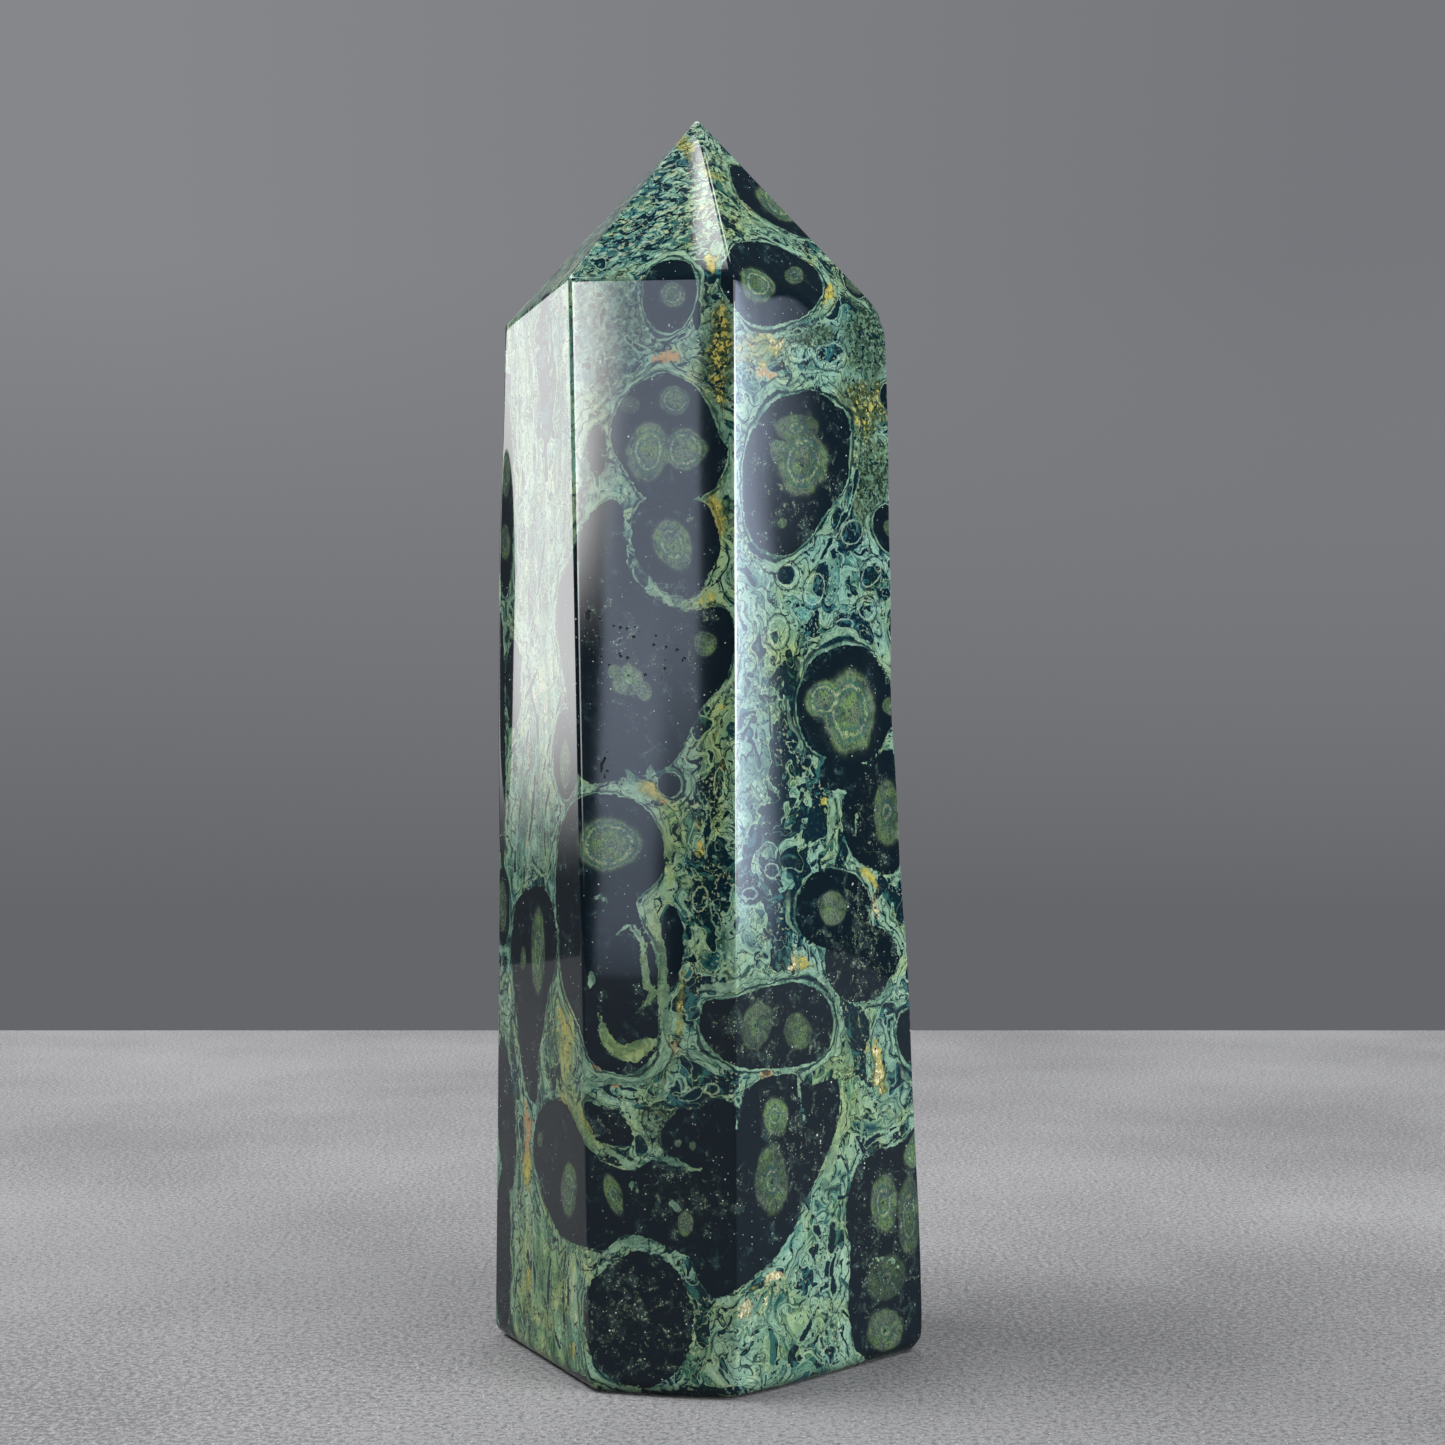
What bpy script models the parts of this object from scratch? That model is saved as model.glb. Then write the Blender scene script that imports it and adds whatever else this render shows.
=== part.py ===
"""Six-sided polished tower of kambaba jasper with a pencil point: one solid stone.

Metres, +Z up, standing on its base at z = 0. The camera side of the stone looks along -Y.
"""

import math

import bmesh
import bpy
from mathutils import Vector

MM = 0.001

# The whole stone
HEIGHT = 160.0 * MM
WIDTH = 56.0 * MM
TIP = Vector((-1.1 * MM, -3.4 * MM, HEIGHT))

# Every side face was ground by hand, so no two are alike. Each has the way it looks, in degrees
# from the front towards the right, its distance from the middle of the base, as a share of the
# stone's width, and the angle by which it leans in as it rises.
SIDE_FACES = {
    "left": (-63.1, 0.405, -0.5),
    "front_left": (-14.6, 0.461, 1.0),
    "front_right": (45.4, 0.398, 0.9),
    "right": (110.0, 0.450, 2.2),
    "back": (164.0, 0.429, 1.1),
    "back_left": (230.0, 0.441, 2.1),
}

# Each face of the point starts at the tip: the way it looks and its slope down from level.
POINT_FACES = {
    "left": (-68.2, 49.8),
    "front_left": (-12.9, 51.5),
    "front_right": (46.8, 54.2),
    "right": (110.0, 49.6),
    "back": (164.8, 46.5),
    "back_left": (230.0, 51.4),
}

# The blank that the faces are cut from
BLANK_RADIUS = 0.75 * WIDTH
BLANK_SIDES = 48
SPARE = 5.0 * MM

# Eased edges
FOOT_EASING = 1.6 * MM
FOOT_STEPS = 4
EDGE_EASING = 0.45 * MM
EDGE_STEPS = 2
ARRIS_ANGLE = math.radians(25.0)
SHOULDER_FROM = 0.6 * HEIGHT
LEVEL = 0.01 * MM

# The stone's average colour and its hard polish
STONE_GREEN = (0.045, 0.085, 0.065, 1.0)
POLISH_ROUGHNESS = 0.12


def facing(turn, lean):
    """The outward direction of a face that looks turn degrees from the front, tilted up by lean."""
    across = math.cos(math.radians(lean))
    return Vector((
        math.sin(math.radians(turn)) * across,
        -math.cos(math.radians(turn)) * across,
        math.sin(math.radians(lean)),
    ))


def blank():
    """An upright round billet, a little taller than the stone at both ends."""
    billet = bmesh.new()
    bmesh.ops.create_cone(
        billet,
        cap_ends=True,
        segments=BLANK_SIDES,
        radius1=BLANK_RADIUS,
        radius2=BLANK_RADIUS,
        depth=HEIGHT + 2.0 * SPARE,
    )
    bmesh.ops.translate(billet, verts=billet.verts, vec=Vector((0.0, 0.0, HEIGHT / 2.0)))
    return billet


def grind(stone, point, outward):
    """Takes away all that lies outside the plane through point, and closes the stone flat there."""
    cut = bmesh.ops.bisect_plane(
        stone,
        geom=stone.verts[:] + stone.edges[:] + stone.faces[:],
        plane_co=point,
        plane_no=outward,
        clear_outer=True,
    )
    rim = [part for part in cut["geom_cut"] if isinstance(part, bmesh.types.BMEdge)]
    bmesh.ops.contextual_create(stone, geom=rim)


def grind_faces(stone):
    """Cuts the flat foot, the six sides and the six faces of the point."""
    grind(stone, Vector((0.0, 0.0, 0.0)), Vector((0.0, 0.0, -1.0)))
    for turn, share, lean in SIDE_FACES.values():
        grind(stone, facing(turn, 0.0) * (share * WIDTH), facing(turn, lean))
    for turn, slope in POINT_FACES.values():
        grind(stone, TIP, facing(turn, 90.0 - slope))


def ease(stone, edges, size, steps):
    """Rounds the given edges over."""
    bmesh.ops.bevel(
        stone,
        geom=edges,
        offset=size,
        offset_type="OFFSET",
        segments=steps,
        profile=0.5,
        affect="EDGES",
        clamp_overlap=True,
    )


def is_foot(edge):
    """True for an edge of the flat foot."""
    return all(abs(corner.co.z) < LEVEL for corner in edge.verts)


def is_arris(edge):
    """True for an upright or sloping edge between two faces, and for the shoulder's edges."""
    low, high = sorted(corner.co.z for corner in edge.verts)
    rises = high - low > LEVEL and edge.calc_face_angle() > ARRIS_ANGLE
    return rises or low > SHOULDER_FROM


def ease_edges(stone):
    """Rounds the foot well over and takes the sharpness off every other edge."""
    ease(stone, [edge for edge in stone.edges if is_foot(edge)], FOOT_EASING, FOOT_STEPS)
    ease(stone, [edge for edge in stone.edges if is_arris(edge)], EDGE_EASING, EDGE_STEPS)


def polished_stone():
    """Polished green and black stone, in its average colour."""
    material = bpy.data.materials.new("stone")
    material.use_nodes = True
    surface = material.node_tree.nodes["Principled BSDF"]
    surface.inputs["Base Color"].default_value = STONE_GREEN
    surface.inputs["Metallic"].default_value = 0.0
    surface.inputs["Roughness"].default_value = POLISH_ROUGHNESS
    return material


def clear_scene():
    """Takes the objects of the opening scene away."""
    for thing in list(bpy.data.objects):
        bpy.data.objects.remove(thing)


def build():
    """Makes the stone's node."""
    clear_scene()
    part = bpy.data.collections.new("kambaba jasper obelisk")
    bpy.context.scene.collection.children.link(part)
    stone = blank()
    grind_faces(stone)
    ease_edges(stone)
    bmesh.ops.recalc_face_normals(stone, faces=stone.faces)
    mesh = bpy.data.meshes.new("obelisk")
    stone.to_mesh(mesh)
    stone.free()
    mesh.materials.append(polished_stone())
    part.objects.link(bpy.data.objects.new("obelisk", mesh))


build()
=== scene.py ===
"""Kambaba jasper tower: the polished stone with its orbs, veins and hand-ground faces, in a small studio.

The stone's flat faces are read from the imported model. Marks that the photograph shows are placed by
their pixel in its 1445 by 1445 frame, thrown from the camera onto the stone, and kept as real shapes
in space. The hidden faces get seeded marks of the same kind.
"""

import math
from collections import namedtuple

import bpy
import numpy as np
from mathutils import Matrix, Vector


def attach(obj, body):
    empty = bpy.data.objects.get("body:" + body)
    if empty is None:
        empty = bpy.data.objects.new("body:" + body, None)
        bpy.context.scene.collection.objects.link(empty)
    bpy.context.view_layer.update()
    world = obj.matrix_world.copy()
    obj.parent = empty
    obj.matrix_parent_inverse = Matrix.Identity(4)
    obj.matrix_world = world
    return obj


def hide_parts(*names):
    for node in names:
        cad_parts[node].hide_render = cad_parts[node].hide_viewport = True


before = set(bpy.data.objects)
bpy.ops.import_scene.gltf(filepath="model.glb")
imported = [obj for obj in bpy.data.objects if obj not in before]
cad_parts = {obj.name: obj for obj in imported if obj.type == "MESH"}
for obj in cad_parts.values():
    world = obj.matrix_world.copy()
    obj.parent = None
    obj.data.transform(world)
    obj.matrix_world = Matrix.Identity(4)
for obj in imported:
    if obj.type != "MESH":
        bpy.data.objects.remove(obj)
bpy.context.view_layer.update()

MM = 0.001

# The photograph's frame and the camera that it gives
PHOTO_WIDE = 1445.0
FOCAL_PIXELS = 2214.0
EYE_ROW = 771.0
SENSOR = 36.0
CAMERA_AT = np.array([2.2, -290.9, 74.86]) * MM
CAMERA_PITCH = math.atan((EYE_ROW - PHOTO_WIDE / 2.0) / FOCAL_PIXELS)

# The size of one of its pixels on the stone's front
PIXEL = MM / 8.1

# What stands for nothing in a division
TINY = 1e-12

# How the stone's faces are told apart
SIDE_LEAN = 0.2
FOOT_LEAN = -0.9
LARGE_FACE = 50.0 * MM * MM
SAME_WAY = math.cos(math.radians(1.5))

# Grinding: how sharp the stone's edges are left, as one over the blending width
ARRIS_SHARPNESS = 14.0 / MM
FOOT_BLEND = 2.3 * MM

# Mesh steps
FINE_STEP = 0.12 * MM
FINE_REACH = 0.60 * MM
ROUND_STEP = 0.26 * MM
SHOWN_STEP = 0.42 * MM
HIDDEN_STEP = 1.60 * MM
ROW_STEP = 0.52 * MM
FOOT_RING_SHARES = (0.985, 0.97, 0.95, 0.92, 0.8, 0.5)

# Unwrapping: the share of the map that the foot takes, and the free margin
FOOT_SHARE = 0.10
MAP_MARGIN = 0.004

Face = namedtuple("Face", "normal distance")


def read_faces(node):
    """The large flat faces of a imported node, each as its outward direction and its distance out."""
    groups = []
    for polygon in node.data.polygons:
        normal = np.array(polygon.normal)
        for group in groups:
            if normal @ group["normal"] > SAME_WAY:
                break
        else:
            group = {"normal": normal, "sum": np.zeros(3), "out": 0.0, "area": 0.0}
            groups.append(group)
        group["sum"] += normal * polygon.area
        group["out"] += (normal @ np.array(polygon.center)) * polygon.area
        group["area"] += polygon.area
    large = [group for group in groups if group["area"] > LARGE_FACE]
    return [Face(g["sum"] / np.linalg.norm(g["sum"]), g["out"] / g["area"]) for g in large]


def turn_of(face):
    """The way a face looks, in degrees from the front towards the right."""
    return math.degrees(math.atan2(face.normal[0], -face.normal[1]))


FACES = read_faces(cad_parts["obelisk"])
SIDES = sorted((f for f in FACES if abs(f.normal[2]) < SIDE_LEAN), key=turn_of)
POINTS = sorted((f for f in FACES if f.normal[2] > SIDE_LEAN), key=turn_of)
FOOT = next(f for f in FACES if f.normal[2] < FOOT_LEAN)

# The sides' places in SIDES and POINTS, which go round from the back left, and the ones in the photograph
LEFT, FRONT_LEFT, FRONT_RIGHT = 1, 2, 3
BACK = 5
SHOWN = (LEFT, FRONT_LEFT, FRONT_RIGHT)


def meet(*faces):
    """The point where three faces meet."""
    return np.linalg.solve(np.array([f.normal for f in faces]), np.array([f.distance for f in faces]))


TIP = meet(POINTS[LEFT], POINTS[FRONT_RIGHT], POINTS[BACK])

# From the photograph to the stone

def ray_through(x, y):
    """The direction of the camera's ray through a pixel of the photograph."""
    across = (x - PHOTO_WIDE / 2.0) / FOCAL_PIXELS
    up = (PHOTO_WIDE / 2.0 - y) / FOCAL_PIXELS
    c, s = math.cos(CAMERA_PITCH), math.sin(CAMERA_PITCH)
    ray = np.array([across, c - up * s, s + up * c])
    return ray / np.linalg.norm(ray)


def pixels_of(points):
    """Where the photograph shows each point, as columns and rows."""
    seen = points - CAMERA_AT
    c, s = math.cos(CAMERA_PITCH), math.sin(CAMERA_PITCH)
    away = seen[:, 1] * c + seen[:, 2] * s
    up = seen[:, 2] * c - seen[:, 1] * s
    half = PHOTO_WIDE / 2.0
    return half + FOCAL_PIXELS * seen[:, 0] / away, half - FOCAL_PIXELS * up / away


def reach(ray, face):
    """How far along a ray from the camera the face's plane lies."""
    return (face.distance - face.normal @ CAMERA_AT) / (face.normal @ ray)


def face_at(x, y):
    """The face that the photograph shows at a pixel."""
    ray = ray_through(x, y)
    towards = [face for face in FACES if face.normal @ ray < 0.0]
    return max(towards, key=lambda face: reach(ray, face))


def on_face(x, y, face):
    """The point of a face's plane at a pixel."""
    ray = ray_through(x, y)
    return CAMERA_AT + ray * reach(ray, face)


def on_stone(x, y):
    """The point of the stone at a pixel."""
    return on_face(x, y, face_at(x, y))


def mirrored(ray, face):
    """A ray's direction once a face has reflected it."""
    return ray - 2.0 * (ray @ face.normal) * face.normal


# Smooth seeded noise

LATTICE = 48


class Noise:
    """Smooth noise from -1 to 1, the same on each run, with features about size across."""

    def __init__(self, seed, size):
        self.table = np.random.default_rng(seed).uniform(-1.0, 1.0, (LATTICE, LATTICE, LATTICE))
        self.size = size

    def __call__(self, points):
        grid = points / self.size + LATTICE
        low = np.floor(grid).astype(int)
        part = grid - low
        part = part * part * (3.0 - 2.0 * part)
        total = np.zeros(len(points))
        for corner in range(8):
            step = np.array([corner & 1, corner >> 1 & 1, corner >> 2 & 1])
            i, j, k = ((low + step) % LATTICE).T
            total += np.prod(np.where(step, part, 1.0 - part), axis=1) * self.table[i, j, k]
        return total


def noise_vectors(seed, size, points):
    """Three noises as a vector at each point."""
    return np.stack([Noise(seed + axis, size)(points) for axis in range(3)], axis=1)


# Shapes in the stone

# How far a distance is worked out, and how thin a drawn line is at its ends and how soon it is full
FAR = 7.0 * MM
STROKE_END = 0.25
STROKE_FULLNESS = 0.7
NO_RADIUS = 1e-3

Lump = namedtuple("Lump", "centre inverse")


def lump(x, y, half_wide, half_tall, tilt=0.0, depth=0.8):
    """An egg-shaped body centred on the stone's surface at a pixel, with its half sizes in pixels.

    Its tilt turns it clockwise, in degrees. Its depth into the stone is a share of its size.
    """
    face = face_at(x, y)
    turn = math.radians(tilt)
    centre = on_face(x, y, face)
    wide = on_face(x + half_wide * math.cos(turn), y + half_wide * math.sin(turn), face) - centre
    tall = on_face(x - half_tall * math.sin(turn), y + half_tall * math.cos(turn), face) - centre
    deep = face.normal * depth * math.sqrt(np.linalg.norm(wide) * np.linalg.norm(tall))
    return Lump(centre, np.linalg.inv(np.stack([wide, tall, deep], axis=1)))


def radius_in(shape, points):
    """Where each point lies in a lump: 0 at its centre and 1 on its skin."""
    return np.linalg.norm((points - shape.centre) @ shape.inverse.T, axis=1)


def lump_distance(shape, points):
    """The signed distance of each point from a lump's skin, below zero inside."""
    local = (points - shape.centre) @ shape.inverse.T
    radius = np.maximum(np.linalg.norm(local, axis=1), NO_RADIUS)
    slope = np.linalg.norm(local @ shape.inverse, axis=1) / radius
    return (radius - 1.0) / np.maximum(slope, 1.0)


def path_distance(knots, points, widths=None):
    """The distance of each point from the straight pieces between knots, as far as FAR.

    Where widths gives a half width at each knot, it is taken off the distance.
    """
    knots = np.array(knots)
    if widths is None:
        widths = np.zeros(len(knots))
    near = np.all((points > knots.min(axis=0) - FAR) & (points < knots.max(axis=0) + FAR), axis=1)
    close = points[near]
    least = np.full(len(close), FAR)
    for start, end, wide, narrow in zip(knots, knots[1:], widths, widths[1:]):
        along = end - start
        share = np.clip((close - start) @ along / max(along @ along, TINY), 0.0, 1.0)
        away = np.linalg.norm(close - start - share[:, None] * along, axis=1)
        least = np.minimum(least, away - wide - (narrow - wide) * share)
    best = np.full(len(points), FAR)
    best[near] = least
    return best


def smooth_path(pixels, closed, steps=4):
    """A smooth curve through pixels, with steps pieces between each two."""
    p = np.array(pixels, dtype=float)
    if closed:
        p = np.vstack([p[-1], p, p[:2]])
    else:
        p = np.vstack([2 * p[0] - p[1], p, 2 * p[-1] - p[-2]])
    t = np.arange(steps)[:, None] / steps
    pieces = []
    for a, b, c, d in zip(p, p[1:], p[2:], p[3:]):
        pieces.append(b + 0.5 * t * (c - a + t * (2 * a - 5 * b + 4 * c - d + t * (3 * (b - c) + d - a))))
    pieces.append(p[-2:-1])
    return np.vstack(pieces)


def stroke_distance(width, pixels, points):
    """The signed distance of each point from a line through pixels, width pixels thick at its middle."""
    knots = [on_stone(x, y) for x, y in smooth_path(pixels, closed=False)]
    along = np.linspace(0.0, 1.0, len(knots))
    taper = STROKE_END + (1.0 - STROKE_END) * np.sin(math.pi * along) ** STROKE_FULLNESS
    return path_distance(knots, points, taper * width / 2.0 * PIXEL)


def outline_distance(pixels, points, shown):
    """The signed distance of each point from a closed outline, below zero inside.

    Only points that are shown can be inside.
    """
    curve = smooth_path(pixels, closed=True)
    distance = path_distance([on_stone(x, y) for x, y in curve], points)
    x, y = pixels_of(points)
    inside = np.zeros(len(points), dtype=bool)
    for (x0, y0), (x1, y1) in zip(curve, curve[1:]):
        if y0 != y1:
            inside ^= ((y0 > y) != (y1 > y)) & (x < x0 + (y - y0) / (y1 - y0) * (x1 - x0))
    return np.where(inside & shown, -distance, distance)


def blend_least(a, b, width):
    """The lesser of two distances, blended where they are within width of each other."""
    share = np.clip(0.5 + 0.5 * (b - a) / width, 0.0, 1.0)
    return b * (1.0 - share) + a * share - width * share * (1.0 - share)


# Marks read from the photograph, all in its pixels. An outline is (rim, pixels): how strong its pale
# skin is, and the places that its curve passes through.
OUTLINES = (
    (1.0, ((733, 246), (750, 241), (775, 245), (800, 258), (815, 270), (823, 288), (818, 303), (800, 318),
           (775, 326), (755, 325), (740, 315), (723, 290), (722, 270), (728, 253))),
    (0.8, ((730, 168), (742, 167), (765, 177), (790, 200), (812, 225), (821, 240), (805, 238), (780, 228),
           (755, 212), (737, 192))),
    (1.0, ((660, 262), (680, 259), (693, 268), (697, 290), (692, 312), (678, 330), (662, 333), (648, 320),
           (643, 298), (647, 275))),
    (0.8, ((668, 373), (645, 380), (622, 400), (611, 425), (613, 450), (622, 465), (632, 480), (645, 495),
           (670, 499), (700, 497), (717, 485), (727, 462), (727, 443), (717, 420), (703, 400), (693, 385))),
    (0.7, ((645, 500), (635, 515), (632, 540), (637, 560), (648, 575), (660, 590), (680, 597), (697, 595),
           (712, 570), (722, 545), (712, 515), (700, 501), (670, 496))),
    (0.5, ((598, 505), (616, 500), (626, 518), (627, 560), (640, 585), (660, 603), (690, 610), (715, 606),
           (732, 614), (737, 640), (733, 660), (722, 685), (705, 705), (690, 730), (678, 757), (660, 772),
           (625, 778), (600, 782), (583, 780), (574, 760), (571, 720), (567, 690), (561, 660), (557, 630),
           (556, 605), (561, 580), (571, 555), (583, 525))),
    (0.9, ((583, 797), (600, 793), (620, 797), (640, 805), (655, 822), (662, 840), (665, 868), (655, 882),
           (640, 895), (636, 905), (640, 920), (650, 940), (655, 955), (658, 980), (658, 1030), (652, 1055),
           (630, 1073), (605, 1070), (590, 1060), (580, 1030), (570, 1005), (562, 980), (557, 930),
           (556, 870), (560, 835), (569, 810))),
    (0.5, ((668, 905), (680, 915), (685, 940), (681, 965), (672, 988), (664, 975), (661, 940))),
    (0.5, ((745, 1090), (770, 1075), (792, 1075), (812, 1085), (838, 1080), (838, 1120), (825, 1160),
           (810, 1190), (795, 1225), (783, 1245), (768, 1265), (740, 1288), (715, 1298), (702, 1285),
           (690, 1258), (668, 1248), (645, 1236), (618, 1238), (600, 1250), (583, 1245), (566, 1240),
           (550, 1215), (538, 1180), (533, 1140), (540, 1108), (556, 1098), (572, 1110), (585, 1135),
           (602, 1160), (630, 1170), (655, 1160), (690, 1170), (718, 1165), (734, 1148), (740, 1115))),
    (1.1, ((815, 392), (792, 396), (770, 405), (752, 430), (744, 455), (742, 480), (744, 510), (750, 535),
           (760, 548), (785, 555), (805, 543), (822, 520), (838, 500), (847, 480), (850, 450), (848, 418),
           (835, 403))),
    (1.1, ((845, 645), (870, 650), (886, 672), (893, 700), (890, 730), (878, 752), (860, 763), (840, 762),
           (818, 752), (803, 732), (797, 705), (802, 678), (818, 655))),
    (0.2, ((824, 760), (860, 764), (864, 780), (845, 790), (822, 786))),
    (0.3, ((860, 770), (885, 750), (897, 760), (902, 800), (903, 850), (895, 872), (870, 868), (850, 850),
           (842, 820), (848, 790))),
    (0.9, ((832, 868), (855, 874), (868, 892), (871, 912), (862, 935), (845, 947), (822, 948), (803, 935),
           (795, 912), (801, 888), (815, 874))),
    (0.4, ((862, 925), (885, 930), (898, 950), (895, 975), (880, 995), (860, 1003), (838, 995), (825, 970),
           (826, 945), (842, 930))),
    (1.2, ((700, 1020), (707, 1003), (735, 998), (760, 988), (790, 982), (812, 985), (826, 998),
           (833, 1020), (830, 1045), (815, 1060), (790, 1068), (760, 1068), (735, 1066), (715, 1052),
           (702, 1036))),
    (0.4, ((862, 1160), (885, 1150), (905, 1140), (921, 1150), (925, 1200), (925, 1280), (922, 1345),
           (905, 1362), (880, 1366), (858, 1350), (848, 1310), (850, 1260), (846, 1215), (852, 1180))),
    (0.3, ((584, 1103), (600, 1104), (616, 1111), (629, 1125), (634, 1140), (626, 1147), (610, 1145),
           (597, 1138), (588, 1122))),
    (0.3, ((668, 1122), (682, 1108), (697, 1112), (714, 1100), (733, 1106), (737, 1135), (734, 1164),
           (700, 1167), (682, 1160), (664, 1151), (660, 1136))),
    (0.6, ((533, 886), (545, 890), (554, 915), (556, 960), (548, 1000), (540, 1050), (537, 1100),
           (527, 1090), (519, 1040), (514, 990), (511, 940), (518, 900))),
)

# Round and long bodies: (rim, x, y, half width, half height, tilt)
EGGS = (
    (0.5, 699, 155, 6, 9, 10),
    (0.4, 638, 1320, 57, 68, 0),
    (0.9, 669, 785, 12, 12, 0),
    (0.5, 597, 450, 10, 26, 0),
    (0.5, 888, 812, 16, 38, 0),
    (0.5, 514, 684, 7, 44, 0),
    (0.8, 566, 754, 13, 46, 0),
    (0.5, 506, 1115, 9, 75, -3),
    (0.5, 503, 1252, 8, 84, 0),
    (0.4, 503, 740, 4, 130, 0),
    (0.5, 504, 907, 6, 40, 0),
    (0.5, 507, 500, 7, 98, 0),
    (0.4, 892, 1160, 20, 14, 0),
)

# Small ringed cells in the green: (x, y, half width, half height, tilt)
CELLS = (
    (702, 155, 12, 12, 0), (830, 355, 18, 17, 0), (778, 632, 12, 18, 0), (852, 532, 13, 17, 20),
    (873, 573, 12, 19, 20), (787, 575, 13, 15, 0), (720, 784, 9, 22, 0), (686, 972, 12, 12, 0),
    (725, 1283, 8, 8, 0), (695, 807, 7, 8, 0), (645, 337, 11, 13, 30), (631, 490, 10, 11, 20),
    (845, 625, 12, 10, 0), (700, 900, 12, 18, 0), (772, 870, 10, 12, 0), (815, 590, 12, 20, 10),
    (655, 1120, 14, 12, 0), (800, 352, 14, 12, 0), (594, 905, 13, 13, 0), (868, 610, 12, 14, 0),
    (750, 893, 11, 10, 0), (712, 1090, 12, 10, 0), (605, 1250, 12, 10, 0), (585, 1250, 10, 20, 0),
)

# Eyes: (tone, ring, x, y, half width, half height, tilt). The tone is how strong it is, and the ring is
# where its pale ring lies, from 0 in the middle to 1 at its edge.
EYES = (
    (0.9, 0.3, 700, 156, 4, 6, 10),
    (0.9, 0.62, 759, 282, 17, 21, 0),
    (0.7, 0.45, 795, 276, 10, 9, 0),
    (0.8, 0.60, 779, 202, 26, 15, 37),
    (0.8, 0.60, 673, 294, 13, 13, 0),
    (0.7, 0.70, 674, 400, 15, 15, 0),
    (0.9, 0.55, 648, 452, 21, 31, 10),
    (0.9, 0.70, 686, 449, 22, 22, 0),
    (0.4, 0.30, 630, 405, 11, 9, 0),
    (0.9, 0.50, 673, 545, 18, 28, -25),
    (0.9, 0.00, 706, 643, 13, 13, 0),
    (1.0, 0.20, 627, 681, 16, 16, 0),
    (0.9, 0.20, 644, 692, 8, 10, 0),
    (0.7, 0.20, 612, 670, 6, 6, 0),
    (1.0, 0.72, 609, 844, 33, 26, 0),
    (0.8, 0.35, 614, 1195, 8, 22, -20),
    (1.0, 0.40, 776, 1117, 13, 20, 0),
    (0.7, 0.30, 772, 1180, 16, 35, 0),
    (0.8, 0.50, 569, 1188, 8, 29, 0),
    (0.8, 0.20, 684, 1224, 8, 12, 0),
    (0.6, 0.30, 540, 1140, 3, 8, 0),
    (0.9, 0.50, 565, 765, 5, 26, 0),
    (0.8, 0.40, 538, 950, 7, 43, 0),
    (0.7, 0.30, 523, 958, 3, 12, 0),
    (0.8, 0.60, 803, 463, 25, 33, 8),
    (0.6, 0.30, 797, 428, 22, 14, 0),
    (0.7, 0.30, 776, 450, 7, 10, 0),
    (0.7, 0.20, 783, 524, 5, 5, 0),
    (1.0, 0.65, 824, 700, 18, 20, 0),
    (1.0, 0.60, 851, 712, 28, 42, 0),
    (0.6, 0.30, 890, 812, 14, 34, 0),
    (1.0, 0.00, 833, 908, 13, 18, 0),
    (0.7, 0.00, 757, 1025, 15, 24, 15),
    (0.6, 0.00, 798, 1032, 14, 18, 0),
    (0.8, 0.45, 884, 1203, 13, 29, 0),
    (0.45, 0.50, 908, 1215, 11, 42, 0),
    (0.35, 0.20, 886, 1278, 18, 24, 20),
    (0.8, 0.60, 678, 1143, 4, 4, 0),
    (0.8, 0.60, 693, 1146, 4, 5, 0),
    (0.7, 0.20, 885, 1330, 18, 22, 0),
    (0.8, 0.50, 507, 471, 4, 26, 0),
    (0.7, 0.40, 507, 544, 4, 17, 0),
    (0.6, 0.40, 503, 905, 4, 26, 0),
)

# Green that runs into or over the black, as (width, pixels)
GREEN_STROKES = (
    (5, ((628, 512), (627, 535), (630, 560))),
    (12, ((832, 800), (833, 822), (826, 845))),
    (4, ((857, 810), (856, 840))),
    (8, ((617, 934), (630, 926), (642, 943), (648, 985), (655, 992), (648, 1002), (633, 1020))),
    (12, ((597, 1014), (603, 1032), (615, 1049), (632, 1058), (642, 1054))),
    (16, ((622, 1050), (638, 1050), (654, 1040))),
    (4, ((590, 905), (598, 895), (606, 902), (603, 914), (594, 918))),
    (8, ((592, 971), (592, 990))),
    (7, ((626, 768), (632, 782))),
    (6, ((650, 762), (648, 784))),
    (4, ((632, 1173), (630, 1200))),
    (8, ((668, 1200), (678, 1212))),
    (5, ((868, 1262), (885, 1258), (900, 1270))),
    (5, ((865, 905), (872, 915), (868, 925))),
)

# Broad green bands that keep the black back, as (width, pixels)
PALE_STROKES = (
    (8, ((640, 803), (655, 815), (666, 835), (672, 870))),
    (10, ((655, 885), (648, 905), (655, 930), (663, 960), (666, 1050))),
    (9, ((700, 385), (712, 405), (722, 430), (728, 448))),
    (12, ((700, 990), (735, 986), (765, 977), (795, 973))),
    (8, ((835, 1005), (845, 1040), (855, 1080), (862, 1110), (862, 1140))),
    (13, ((845, 1112), (838, 1135), (830, 1165), (822, 1195))),
    (9, ((580, 1088), (615, 1080), (655, 1086))),
    (6, ((722, 215), (760, 225), (800, 245), (832, 262))),
    (5, ((590, 1140), (612, 1152), (630, 1165), (645, 1155), (690, 1165))),
    (6, ((600, 1255), (618, 1245), (645, 1243), (665, 1257), (680, 1275), (690, 1300))),
    (5, ((808, 1140), (800, 1072), (850, 1065))),
    (4, ((850, 1298), (832, 1320), (805, 1345))),
    (3, ((898, 965), (885, 990), (870, 1005), (855, 1018))),
    (12, ((560, 1078), (572, 1110), (585, 1135), (597, 1152))),
    (5, ((745, 1090), (760, 1078), (785, 1070), (812, 1078))),
    (5, ((803, 322), (822, 312), (835, 292), (833, 270))),
    (3, ((640, 1390), (700, 1383))),
)

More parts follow.
